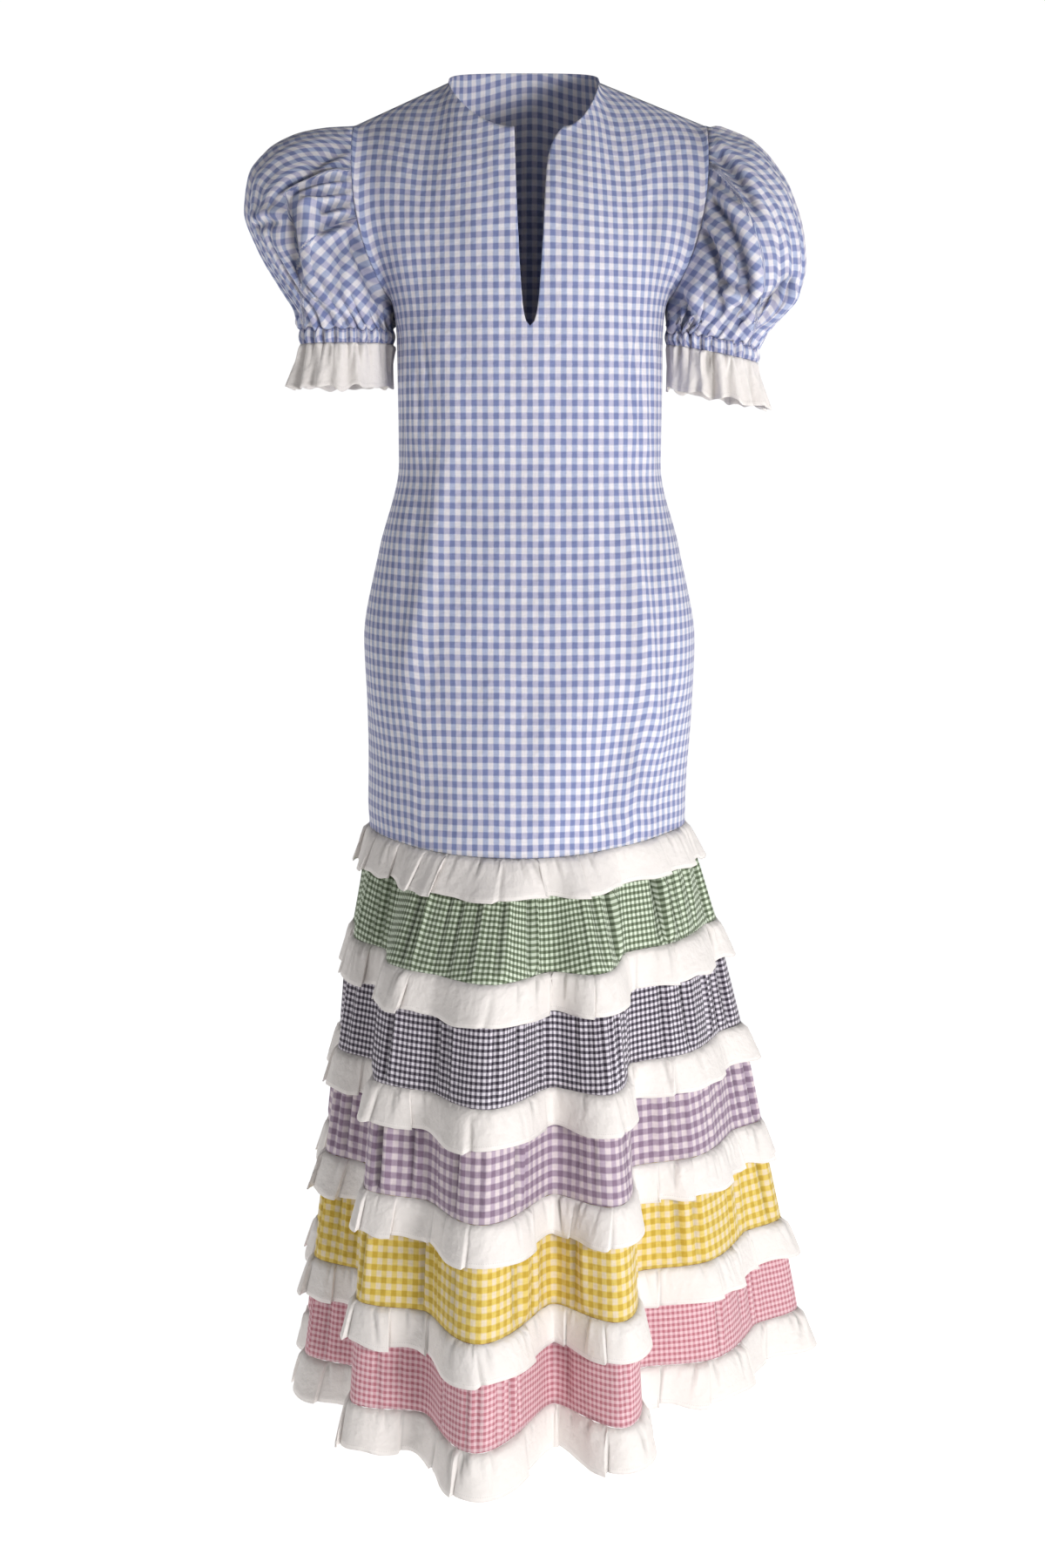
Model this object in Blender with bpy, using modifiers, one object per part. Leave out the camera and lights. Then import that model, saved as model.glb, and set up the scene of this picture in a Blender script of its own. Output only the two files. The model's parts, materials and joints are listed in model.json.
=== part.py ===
"""Long dress with a gingham body, puff sleeves and a skirt of five gingham bands and six white ruffles.

It has the hollow form that it takes when worn. The body is a front and a back panel, joined at the
shoulders and the sides, with a round neck and an open slit at the centre front. Each skirt band is a
tube, and each ruffle is sewn in the seam above a band and hangs free over the top of it. Every piece is a
cloth wall of its own. Metres, +Z up, the front faces -Y. Azimuth is measured in degrees from the front
towards +X. The origin is at the neck, midway between the tops of the two shoulder seams and level with
them.
"""

import bmesh
import bpy
import numpy as np

# Cloth
WALL = 0.0012               # thickness of a piece of cloth
SEAM = 0.0003               # space left between two pieces at a seam

# Neck, slit, shoulders and armholes
NECK_HALF_WIDTH = 0.077
NECK_SHIFT = -0.006         # the neck sits a little to the wearer's right
NECK_FRONT_DROP = 0.053
NECK_BACK_RISE = 0.018
NECK_FRONT_POWER = 1.5      # over 1, the neck leaves the shoulder seam slowly, and under 1, at once
NECK_BACK_POWER = 0.6
NECK_FRONT_DEPTH = 0.074    # how far in front of the shoulder seams the neck's edge lies
NECK_BACK_DEPTH = 0.056
SLIT_FOOT_Z = -0.245
SLIT_SPREAD = 0.36          # under 1, the slit opens quickly above its foot
CHEST_SWELL = 0.008         # how far the centre of a panel bulges above the armpit row
BACK_SWELL = 0.010
CENTRE_LEAN = 1.4           # over 1, the centre leans towards the neck later
SHOULDER_X = 0.180
SHOULDER_DROP = 0.043
ARMPIT_Z = -0.225
ARMHOLE_FRONT = 0.060       # how far the armhole's edge bows forward and back
ARMHOLE_BACK = 0.056
ARMHOLE_POWER = 3           # high, so that only the foot of the armhole turns in to the armpit

# Skirt levels, which are the seams that hold the ruffles
KNEE_Z = -0.766
HIP_Z = -0.570
FRONT_DIP = 0.007           # how much lower the knee seam hangs at the front, less at each seam below it
RUFFLE_FLARE = 0.007        # how far a ruffle's free edge stands out from the band under it
RUFFLE_WAVE = 0.008         # how far its waves stand out beyond that
WAVE_SWELL = 0.28           # share of a wave's depth that comes and goes round the ruffle
WAVE_SWELLS = 3             # how often it does
WAVE_SHIFT = 2.1            # how far that is turned from one ruffle to the next (radians)
HOLLOW_SQUEEZE = 1.2        # how strongly a hollow of the skirt squeezes the ruffle over it
MITRE_LIMIT = 0.6           # least cosine by which a corner's offset is stretched

# Sleeves
CUFF_RADIUS = 0.046
CUFF_DEPTH = 0.014
CUFF_X = 0.190
SLEEVE_SIDE_PUFF = 0.034    # how far the front and back of the sleeve stand out from a straight line
SLEEVE_RUFFLE_DEPTH = 0.045
SLEEVE_RUFFLE_FLARE = 0.012
SLEEVE_RUFFLE_WAVE = 0.005
UNDERARM_FLARE = 0.12       # share of that flare which is left beside the body
GATHER_DEPTH = 0.005        # how deep the folds are that run from the crown's seam

# How many faces make each shape
PANEL_COLUMNS = 10          # from the centre of a panel to its side
ARMHOLE_ROWS = 8            # from the armpit to the shoulder
COLUMNS_PER_FOLD = 3        # from a crest to the next hollow
SLEEVE_SPLITS = 2           # sleeve columns to each armhole row
GATHER_FOLDS = 8
SLEEVE_RUFFLE_WAVES = 8

# Sections of the body: height, half width, depth in front of and behind the side seams, squareness
BODY_SECTIONS = np.array([
    # z,      half_width, front, back,  power
    (-0.225,  0.1390,     0.121, 0.094, 2.3),   # armpit
    (-0.275,  0.1375,     0.122, 0.092, 2.3),   # under the bust
    (-0.385,  0.1370,     0.119, 0.094, 2.4),   # waist
    (-0.470,  0.1570,     0.127, 0.110, 2.5),   # high hip
    (-0.570,  0.1740,     0.146, 0.128, 2.5),   # hip
    (-0.766,  0.1720,     0.172, 0.146, 2.2),   # knee seam
])
LOWER_BODY_Z = (-0.766, -0.700, -0.635, -0.570, -0.500, -0.430, -0.365, -0.300, -0.245, -0.225)

# Skirt folds, a crest and a hollow by turns: azimuth, radius at the knee seam, radius at the last seam, and
# how soon the fold grows (1 is evenly with height, less is sooner)
FOLDS = np.array([
    # azimuth, knee,  hem,   growth
    (-164,     0.148, 0.286, 0.80),
    (-146,     0.150, 0.228, 0.80),
    (-128,     0.157, 0.282, 0.80),
    (-111,     0.164, 0.226, 0.80),
    (-95,      0.170, 0.250, 0.80),
    (-81,      0.172, 0.226, 0.75),
    (-66,      0.171, 0.262, 0.70),
    (-51,      0.171, 0.232, 0.60),
    (-37,      0.175, 0.292, 0.45),
    (-24,      0.177, 0.272, 0.25),
    (-9,       0.176, 0.344, 0.40),
    (6,        0.171, 0.232, 0.30),
    (18,       0.164, 0.300, 0.45),
    (38,       0.154, 0.186, 0.60),
    (60,       0.155, 0.234, 0.70),
    (82,       0.165, 0.250, 0.80),
    (94,       0.168, 0.303, 0.80),
    (109,      0.164, 0.236, 0.80),
    (125,      0.158, 0.292, 0.80),
    (143,      0.151, 0.228, 0.80),
    (161,      0.147, 0.284, 0.80),
    (179,      0.146, 0.228, 0.80),
])

# Skirt bands: name, height of the lower seam, colour
BANDS = (
    ("green_band", -0.875, (0.28, 0.52, 0.36)),
    ("navy_band", -0.9925, (0.20, 0.20, 0.32)),
    ("lilac_band", -1.103, (0.62, 0.53, 0.76)),
    ("yellow_band", -1.218, (0.93, 0.82, 0.28)),
    ("pink_band", -1.3245, (0.90, 0.55, 0.70)),
)
# Ruffles from the knee down: waves round each, depth from its seam to its free edge
RUFFLES = ((22, 0.036), (22, 0.039), (22, 0.038), (33, 0.039), (33, 0.038), (33, 0.042))
HEM_Z = BANDS[-1][1]

# Sleeves: name, side, height of the cuff's lower seam, how far the cuff dips outwards (degrees)
SLEEVES = (
    ("left", -1, -0.262, 0.0),
    ("right", 1, -0.272, 11.0),
)
# Slit edges: side, how far the edge is drawn aside at the neck, how far its corner turns out
SLIT_EDGES = {-1: (0.0155, 0.000), 1: (0.017, 0.016)}
CORNER_POWER = 12           # high, so only the top of the edge turns out
# Crowns of the sleeves: share of the way from the armhole to the cuff, and how far the left and the right
# crown stand out there from a straight line between shoulder and cuff
CROWN = np.array([
    # way, left,  right
    (0.00, 0.000, 0.000),
    (0.05, 0.030, 0.020),
    (0.12, 0.057, 0.043),
    (0.22, 0.078, 0.058),
    (0.36, 0.090, 0.070),
    (0.52, 0.086, 0.0735),
    (0.68, 0.064, 0.069),
    (0.82, 0.034, 0.053),
    (0.93, 0.009, 0.018),
    (1.00, 0.000, 0.000),
])

BLUE = (0.42, 0.49, 0.76)
WHITE = (0.90, 0.89, 0.88)
CLOTH_ROUGHNESS = 0.85


def smooth_table(places, values, at):
    """Curve through a table's points that never overshoots. Between two points it is a cubic, whose slope
    at each is the harmonic mean of the chords on its two sides, or zero at a high or a low."""
    at = np.asarray(at, float)
    step = np.diff(places)
    chord = np.diff(values) / step
    before, after = chord[:-1], chord[1:]
    same_way = before * after > 0
    mean = np.where(same_way, 2 * before * after / np.where(same_way, before + after, 1.0), 0.0)
    slope = np.concatenate((chord[:1], mean, chord[-1:]))
    row = np.clip(np.searchsorted(places, at, side="right") - 1, 0, len(step) - 1)
    u = (at - places[row]) / step[row]
    low, high = values[row], values[row + 1]
    return (low * (1 + 2 * u) * (1 - u) ** 2 + high * u * u * (3 - 2 * u)
            + step[row] * u * (1 - u) * (slope[row] * (1 - u) - slope[row + 1] * u))


def around(column, azimuth):
    """A column of the fold table, read at any azimuth on the closed curve through it."""
    places = np.concatenate([FOLDS[:, 0] + turn for turn in (-360, 0, 360)])
    return smooth_table(places, np.tile(FOLDS[:, column], 3), azimuth)


def ease(u):
    """Smooth step from 0 to 1."""
    u = np.clip(u, 0.0, 1.0)
    return u * u * (3 - 2 * u)


def skirt_share(z):
    """Share of the way from the knee seam down to the last seam."""
    return max(0.0, (KNEE_Z - z) / (KNEE_Z - HEM_Z))


def seam_z(azimuth, z):
    """Height of a seam round the dress: it dips at the front, by the squared cosine of the azimuth."""
    ahead = np.maximum(np.cos(np.radians(azimuth)), 0.0) ** 2
    return z - FRONT_DIP * ahead * max(0.0, 1 - skirt_share(z))


def skirt_radius(azimuth, z):
    """The knee's radius plus the fold, which grows by a power of the way down to the last seam."""
    grown = skirt_share(z)
    knee, hem, growth = (around(column, azimuth) for column in (1, 2, 3))
    return knee + (hem - knee) * grown ** growth


def body_radius(azimuth, z):
    """A squared oval at each height, which turns into the skirt's round between the hip and the knee."""
    half_width, front, back, power = (
        smooth_table(-BODY_SECTIONS[:, 0], BODY_SECTIONS[:, column], -z) for column in (1, 2, 3, 4))
    turn = np.radians(azimuth)
    depth = np.where(np.cos(turn) >= 0, front, back)
    oval = ((np.abs(np.sin(turn)) / half_width) ** power
            + (np.abs(np.cos(turn)) / depth) ** power) ** (-1 / power)
    share = ease((HIP_Z - z) / (HIP_Z - KNEE_Z))
    return oval + (skirt_radius(azimuth, KNEE_Z) - oval) * share


def ring_at(azimuth, radius, z):
    """Points at these azimuths, radii and heights."""
    turn = np.radians(azimuth)
    return np.stack((radius * np.sin(turn), -radius * np.cos(turn), np.broadcast_to(z, turn.shape)), axis=1)


def halved(ring):
    """A closed ring with a point added at the middle of each of its sides, so that the two rings
    coincide."""
    middle = (ring + np.roll(ring, -1, axis=0)) / 2
    return np.stack((ring, middle), axis=1).reshape(-1, 3)


def moved_out(ring, distance):
    """A closed level ring with each side moved out by a distance in plan. A corner moves along its
    bisector."""
    side = np.roll(ring, -1, axis=0) - ring
    normal = np.stack((side[:, 1], -side[:, 0]), axis=1)
    normal /= np.linalg.norm(normal, axis=1)[:, None]
    before = np.roll(normal, 1, axis=0)
    bisector = normal + before
    bisector /= np.linalg.norm(bisector, axis=1)[:, None]
    reach = distance / np.maximum((bisector * normal).sum(axis=1), MITRE_LIMIT)
    moved = ring.copy()
    moved[:, :2] += bisector * reach[:, None]
    return moved


def room_outside(ring):
    """Share of a ruffle's fullness that fits outside each point of a ring: less in the skirt's deep
    hollows."""
    side = np.roll(ring, -1, axis=0) - ring
    back = np.roll(side, 1, axis=0)
    turn = back[:, 0] * side[:, 1] - back[:, 1] * side[:, 0]
    turn /= np.linalg.norm(side, axis=1) * np.linalg.norm(back, axis=1)
    hollow = np.clip(-turn, 0.0, 1.0)
    spread = sum(np.roll(hollow, shift) for shift in (-2, -1, 0, 1, 2))
    return 1 / (1 + HOLLOW_SQUEEZE * spread)


def split(quad):
    """The two triangles of a quad, cut from its first corner to its third."""
    a, b, c, d = quad
    return (a, b, c), (a, c, d)


def cloth_material(name, colour):
    """Matt woven cotton of one colour."""
    material = bpy.data.materials.new(name)
    material.use_nodes = True
    shader = material.node_tree.nodes["Principled BSDF"]
    shader.inputs["Base Color"].default_value = (*colour, 1.0)
    shader.inputs["Roughness"].default_value = CLOTH_ROUGHNESS
    shader.inputs["Metallic"].default_value = 0.0
    return material


def add_object(name, points, faces, colour):
    """A named object of the dress, shaded smooth, with a material of its own."""
    mesh = bpy.data.meshes.new(name)
    mesh.from_pydata([tuple(point) for point in points], [], faces)
    mesh.validate()
    mesh.shade_smooth()
    mesh.materials.append(cloth_material(name + "_cloth", colour))
    piece = bpy.data.objects.new(name, mesh)
    dress.objects.link(piece)
    return piece


def tube_wall(name, outer, inner, colour):
    """Closed wall of a tube: outer rings from top to bottom, then inner rings from bottom to top. Its
    outside and its inside are cut into triangles the same way, so that the wall keeps its thickness where
    it is warped."""
    rows = list(outer) + list(inner)[::-1]
    count, width = len(rows), len(rows[0])
    faces = []
    for i in range(count):
        for j in range(width):
            low, across = (i + 1) % count, (j + 1) % width
            quad = (i * width + j, low * width + j, low * width + across, i * width + across)
            faces.extend(split(quad if i < len(outer) else quad[1:] + quad[:1]))
    return add_object(name, np.concatenate(rows), faces, colour)


def armhole_point(side, way, t):
    """Edge of the armhole. t is 0 at the shoulder and pi at the armpit, and way is -1 in front, 1
    behind."""
    middle = (ARMPIT_Z - SHOULDER_DROP) / 2
    half_height = (-SHOULDER_DROP - ARMPIT_Z) / 2
    bow = ARMHOLE_FRONT if way < 0 else ARMHOLE_BACK
    tuck = (SHOULDER_X - BODY_SECTIONS[0, 1]) * ((1 - np.cos(t)) / 2) ** ARMHOLE_POWER
    x = side * (SHOULDER_X - tuck)
    return np.stack((x, way * bow * np.sin(t), middle + half_height * np.cos(t)), axis=-1)


def slit_x(side, z):
    """How far to the side the slit's edge lies: a power of the height above its foot, and the turned
    corner."""
    share = np.clip((z - SLIT_FOOT_Z) / (-NECK_FRONT_DROP - SLIT_FOOT_Z), 0.0, 1.0)
    drawn, corner = SLIT_EDGES[side]
    return side * (drawn * share ** SLIT_SPREAD + corner * share ** CORNER_POWER)


def panel_top(side, way, columns):
    """Top edge from the centre: a quarter of the neck's oval, then the straight shoulder seam."""
    half = columns // 2
    turn = np.linspace(0, np.pi / 2, half + 1)
    neck_z, neck_y, power = ((-NECK_FRONT_DROP, NECK_FRONT_DEPTH, NECK_FRONT_POWER) if way < 0
                             else (NECK_BACK_RISE, NECK_BACK_DEPTH, NECK_BACK_POWER))
    start_x = slit_x(side, neck_z) if way < 0 else 0.0
    neck_x = side * NECK_HALF_WIDTH + NECK_SHIFT
    ahead = np.maximum(np.cos(turn), 0.0)
    across = start_x + (neck_x - start_x) * np.sin(turn)
    neck = np.stack((across, way * neck_y * ahead, neck_z * ahead ** power), axis=1)
    tip = np.array((side * SHOULDER_X, 0.0, -SHOULDER_DROP))
    along = np.linspace(0, 1, columns - half + 1)[1:, None]
    neck[-1, 1:] = 0.0
    return np.concatenate((neck, neck[-1] + (tip - neck[-1]) * along))


def panel_centre(side, way, rows, start, end):
    """Centre line above the armpit, over the chest or the back, or the slit's edge in front."""
    share = np.linspace(0, 1, rows + 1)
    z = start[2] + (end[2] - start[2]) * share
    swell = (CHEST_SWELL if way < 0 else BACK_SWELL) * np.sin(np.pi * share)
    y = start[1] + (end[1] - start[1]) * share ** CENTRE_LEAN + way * swell
    x = slit_x(side, z) if way < 0 else np.zeros_like(z)
    return np.stack((x, y, z), axis=1)


def quarter_panel(side, way):
    """Half of a panel, as rows of points from the knee up, each from the centre to the side. Above the
    armpit it is the surface blended between its four edges: armpit row, armhole, top edge and centre."""
    columns = PANEL_COLUMNS
    share = np.linspace(0, 1, columns + 1)
    azimuth = side * 90 * share if way < 0 else side * (180 - 90 * share)
    lower = []
    for z in LOWER_BODY_Z:
        row = ring_at(azimuth, body_radius(azimuth, z), seam_z(azimuth, z) if z == KNEE_Z else z)
        row[0, 0] = 0.0
        if way < 0:
            row[:, 0] += slit_x(side, z) * (1 - share) ** 3
        row[-1, 1] = 0.0
        lower.append(row)

    bottom, top = lower[-1], panel_top(side, way, columns)
    centre = panel_centre(side, way, ARMHOLE_ROWS, bottom[0], top[0])
    edge = armhole_point(side, way, np.linspace(np.pi, 0, ARMHOLE_ROWS + 1))
    edge[[0, -1], 1] = 0.0
    upper = []
    for row in range(1, ARMHOLE_ROWS + 1):
        v = row / ARMHOLE_ROWS
        u = share[:, None]
        corners = ((1 - u) * ((1 - v) * bottom[0] + v * top[0]) + u * ((1 - v) * bottom[-1] + v * top[-1]))
        upper.append((1 - v) * bottom + v * top + (1 - u) * centre[row] + u * edge[row] - corners)
    return lower + upper


def body_panels():
    """Front and back panels. Both are laid out as one surface first, so that they share their seams'
    normals."""
    surface = bmesh.new()
    for way in (-1, 1):
        for side in (-1, 1):
            rows = [[surface.verts.new(point) for point in row] for row in quarter_panel(side, way)]
            for low, high in zip(rows, rows[1:]):
                for j in range(PANEL_COLUMNS):
                    corners = [low[j], low[j + 1], high[j + 1], high[j]]
                    face = surface.faces.new(corners if side * way < 0 else corners[::-1])
                    face.material_index = 0 if way < 0 else 1
    bmesh.ops.remove_doubles(surface, verts=surface.verts, dist=0.00001)
    surface.normal_update()
    surface.verts.index_update()
    points = np.array([vert.co for vert in surface.verts])
    normals = np.array([vert.normal for vert in surface.verts])
    for name, index, way in (("front_body", 0, -1), ("back_body", 1, 1)):
        faces = [[vert.index for vert in face.verts]
                 for face in surface.faces if face.material_index == index]
        panel_wall(name, points, normals, faces, way)
    surface.free()


def panel_wall(name, points, normals, faces, way):
    """Closed wall of a panel: its surface, the same moved in by the cloth's thickness, and a rim all
    round. Its seams lie in the plane y = 0, and each panel keeps half the seam's space to that plane."""
    used = sorted({index for face in faces for index in face})
    place = {index: k for k, index in enumerate(used)}
    outer = points[used].copy()
    inner = outer - WALL * normals[used]
    at_seam = np.abs(outer[:, 1]) < SEAM / 10
    outer[at_seam, 1] += way * SEAM / 2
    inner[at_seam, 1] += way * SEAM / 2
    count = len(used)
    skin = [tuple(place[index] for index in face) for face in faces]
    edges = {(face[k], face[(k + 1) % len(face)]) for face in skin for k in range(len(face))}
    rim = sorted((b, a, a + count, b + count) for a, b in edges if (b, a) not in edges)
    outside = [triangle for face in skin for triangle in split(face)]
    inside = [tuple(index + count for index in triangle[::-1]) for triangle in outside]
    add_object(name, np.concatenate((outer, inner)), outside + inside + rim, BLUE)


def fold_columns():
    """Azimuths of the skirt's columns, so that each crest and hollow of the fold table has its own."""
    starts = FOLDS[:, 0]
    ends = np.concatenate((starts[1:], starts[:1] + 360))
    share = np.arange(COLUMNS_PER_FOLD) / COLUMNS_PER_FOLD
    return (starts[:, None] + (ends - starts)[:, None] * share).ravel()


def skirt():
    """Bands and ruffles. A band's top lies inside the seam, and its ruffle is made from the band's own
    points, moved out by a cloth's thickness and the space of a seam, and further at the free edge."""
    azimuth = fold_columns()
    top_z = KNEE_Z
    for tier, (waves, depth) in enumerate(RUFFLES):
        last = tier == len(BANDS)
        bottom_z = HEM_Z - depth if last else BANDS[tier][1]
        seam = ring_at(azimuth, skirt_radius(azimuth, top_z), seam_z(azimuth, top_z) - SEAM)
        top = moved_out(seam, -(WALL + SEAM))
        bottom = ring_at(azimuth, skirt_radius(azimuth, bottom_z), seam_z(azimuth, bottom_z))
        if not last:
            name, _, colour = BANDS[tier]
            tube_wall(name, (top, bottom), (moved_out(top, -WALL), moved_out(bottom, -WALL)), colour)
        foot = top + (bottom - top) * depth / (top_z - bottom_z)
        ruffle(f"ruffle_{tier + 1}", halved(top), halved(foot), waves, tier)
        top_z = bottom_z


def ruffle(name, top, foot, waves, tier):
    """White ruffle over the ring that it is sewn to and the ring of cloth under its free edge. Its waves
    grow from none at the seam, and they are uneven: their depth swells and fades a few times round."""
    turn = 2 * np.pi * np.arange(len(foot)) / len(foot)
    swell = 1 - WAVE_SWELL + WAVE_SWELL * np.sin(WAVE_SWELLS * turn + WAVE_SHIFT * tier)
    wave = (1 - np.cos(waves * turn)) / 2 * swell
    stand = WALL + SEAM + (RUFFLE_FLARE + RUFFLE_WAVE * wave) * room_outside(foot)
    outer = (moved_out(top, WALL + SEAM), moved_out(foot, stand))
    inner = (moved_out(top, SEAM), moved_out(foot, stand - WALL))
    tube_wall(name, outer, inner, WHITE)


def cuff_ring(side, seam_z, dip, radius, above):
    """Ring round the arm, from the crown's side (t = 0) by the front, at a height above the cuff's lower
    seam. The plane of the cuff dips outwards, and the cloth still hangs straight down."""
    count = 2 * ARMHOLE_ROWS * SLEEVE_SPLITS
    t = 2 * np.pi * np.arange(count) / count
    slope = np.radians(dip)
    out = np.array((side * np.cos(slope), 0.0, -np.sin(slope)))
    centre = np.array((side * CUFF_X, 0.0, seam_z + above))
    radius = np.broadcast_to(radius, t.shape)[:, None]
    return centre + radius * (np.cos(t)[:, None] * out + np.sin(t)[:, None] * np.array((0.0, -1.0, 0.0)))


def sleeve(label, side, seam_z, dip):
    """Puff sleeve, elastic cuff band and cuff ruffle. The sleeve runs from the armhole's own points to
    the cuff, bulging by the crown table, with soft folds that fade towards the underarm and both
    seams."""
    t = np.linspace(0, np.pi, ARMHOLE_ROWS + 1)
    armhole = np.concatenate((armhole_point(side, -1, t), armhole_point(side, 1, t[::-1])[1:-1]))
    start = halved(armhole) + np.array((side * SEAM, 0.0, 0.0))
    end = cuff_ring(side, seam_z, dip, CUFF_RADIUS, CUFF_DEPTH + SEAM)
    count = len(start)
    turn = 2 * np.pi * np.arange(count) / count
    crown_share = ((1 + np.cos(turn)) / 2)[:, None]
    chord = end[0] - start[0]
    crown_way = np.array((-chord[2] * side, 0.0, chord[0] * side)) / np.linalg.norm(chord)
    front_way = np.array((0.0, -1.0, 0.0))
    gather = (GATHER_DEPTH * (np.cos(GATHER_FOLDS * turn) - 1) / 2)[:, None] * crown_share
    crown = CROWN[:, 2 if side > 0 else 1]
    rows = []
    for v, puff, share in zip(CROWN[:, 0], crown, crown / crown.max()):
        out = puff * crown_share * crown_way + share * SLEEVE_SIDE_PUFF * np.sin(turn)[:, None] * front_way
        rows.append(start + (end - start) * v + out + share * gather * crown_way)
    sleeve_shell(f"sleeve_{label}", rows, side)

    band = [[cuff_ring(side, seam_z, dip, radius, above) for above in (CUFF_DEPTH, 0.0)]
            for radius in (CUFF_RADIUS, CUFF_RADIUS - WALL)]
    wave = (1 - np.cos(SLEEVE_RUFFLE_WAVES * turn)) / 2
    room = UNDERARM_FLARE + (1 - UNDERARM_FLARE) * crown_share[:, 0]
    free = room * (SLEEVE_RUFFLE_FLARE + SLEEVE_RUFFLE_WAVE * wave)
    frill = [[cuff_ring(side, seam_z, dip, radius, -SEAM),
              cuff_ring(side, seam_z, dip, radius + free, -SLEEVE_RUFFLE_DEPTH)]
             for radius in (CUFF_RADIUS, CUFF_RADIUS - WALL)]
    for name, (outer, inner), colour in ((f"cuff_band_{label}", band, BLUE),
                                         (f"cuff_ruffle_{label}", frill, WHITE)):
        if side > 0:
            outer, inner = [ring[::-1] for ring in outer], [ring[::-1] for ring in inner]
        tube_wall(name, outer, inner, colour)


def sleeve_shell(name, rows, side):
    """Sleeve as an open surface through its rings, with Solidify for the cloth's thickness."""
    width = len(rows[0])
    faces = [triangle for i in range(len(rows) - 1) for j in range(width)
             for triangle in split((i * width + j, (i + 1) * width + j,
                                    (i + 1) * width + (j + 1) % width, i * width + (j + 1) % width))]
    if side > 0:
        faces = [face[::-1] for face in faces]
    piece = add_object(name, np.concatenate(rows), faces, BLUE)
    shell = piece.modifiers.new("cloth", "SOLIDIFY")
    shell.thickness = WALL
    shell.offset = -1.0


for old in list(bpy.data.objects):
    bpy.data.objects.remove(old, do_unlink=True)
dress = bpy.data.collections.new("tiered_dress")
bpy.context.scene.collection.children.link(dress)

body_panels()
for row in SLEEVES:
    sleeve(*row)
skirt()
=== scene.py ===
"""Looks of the long gingham dress: fine cloth surfaces for every piece, woven checks, light and camera.

Every piece follows the same curves as the dress's solids, read at many more places, with its small folds,
gathers and tucks added. Metres, +Z up, the front faces -Y, azimuth in degrees from the front towards +X.
"""

import json
import math

import bpy
import numpy as np
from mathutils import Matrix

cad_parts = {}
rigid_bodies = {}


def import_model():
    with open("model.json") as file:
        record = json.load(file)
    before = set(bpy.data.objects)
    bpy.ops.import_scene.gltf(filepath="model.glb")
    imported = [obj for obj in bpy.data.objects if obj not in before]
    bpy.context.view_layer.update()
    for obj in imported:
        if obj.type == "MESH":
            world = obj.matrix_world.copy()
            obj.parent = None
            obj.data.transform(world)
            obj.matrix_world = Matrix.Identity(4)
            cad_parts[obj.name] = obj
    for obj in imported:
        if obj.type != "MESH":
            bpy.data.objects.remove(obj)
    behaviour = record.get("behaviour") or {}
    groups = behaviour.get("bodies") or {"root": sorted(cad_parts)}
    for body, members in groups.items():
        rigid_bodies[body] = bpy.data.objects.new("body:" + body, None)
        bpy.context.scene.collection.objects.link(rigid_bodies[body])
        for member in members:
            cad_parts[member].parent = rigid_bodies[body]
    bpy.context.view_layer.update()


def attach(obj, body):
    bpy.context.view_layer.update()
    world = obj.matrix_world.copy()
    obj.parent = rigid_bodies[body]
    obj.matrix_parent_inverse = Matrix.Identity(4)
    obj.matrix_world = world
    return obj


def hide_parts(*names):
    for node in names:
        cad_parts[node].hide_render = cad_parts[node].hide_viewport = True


# Cloth
WALL = 0.0012
SEAM = 0.0003

# Neck, slit, shoulders and armholes
NECK_HALF_WIDTH = 0.077
NECK_SHIFT = -0.006
NECK_FRONT_DROP = 0.053
NECK_BACK_RISE = 0.018
NECK_FRONT_POWER = 1.5
NECK_BACK_POWER = 0.6
NECK_FRONT_DEPTH = 0.074
NECK_BACK_DEPTH = 0.056
SLIT_FOOT_Z = -0.245
SLIT_SPREAD = 0.36
CHEST_SWELL = 0.008
BACK_SWELL = 0.010
CENTRE_LEAN = 1.4
SHOULDER_X = 0.180
SHOULDER_DROP = 0.043
ARMPIT_Z = -0.225
ARMHOLE_FRONT = 0.060
ARMHOLE_BACK = 0.056
ARMHOLE_POWER = 3

# Skirt levels
KNEE_Z = -0.766
HIP_Z = -0.570
WAIST_Z = -0.385
FRONT_DIP = 0.007
DIP_START_Z = -0.700  # the front's dip grows from here down to the knee seam
RUFFLE_FLARE = 0.007
RUFFLE_WAVE = 0.008
HOLLOW_SQUEEZE = 1.2

# Sleeves
CUFF_RADIUS = 0.046
CUFF_DEPTH = 0.014
CUFF_X = 0.190
SLEEVE_SIDE_PUFF = 0.034
SLEEVE_RUFFLE_DEPTH = 0.045
SLEEVE_RUFFLE_FLARE = 0.012
SLEEVE_RUFFLE_WAVE = 0.005
SLEEVE_RUFFLE_WAVES = 8
UNDERARM_FLARE = 0.12
CROWN_POWER = 0.85  # under 1, the sleeve is squarer than a round
ASIDE_POWER = 0.70
CROWN_TURN = 1.6  # how soon the cloth counts as front or back, away from the crown
CUT_DEPTH = 0.8  # share of its depth that a sleeve has on the flat cut
CUT_TAPER = 0.45  # share of the sleeve's narrowing at its ends that the cut has
UNDERARM = 0.16  # crown share below which shade is painted on the cloth, under the arm
PUCKER = 0.0027  # how far the elastic's puckers stand in and out
PUCKERS = 23
ELASTIC_FULLNESS = 1.6  # how much cloth the elastic draws in to each length of itself
FLUTE_SHADE = 0.476  # depth that a flute of the cuff's ruffle is given painted shade for, to its own
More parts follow.
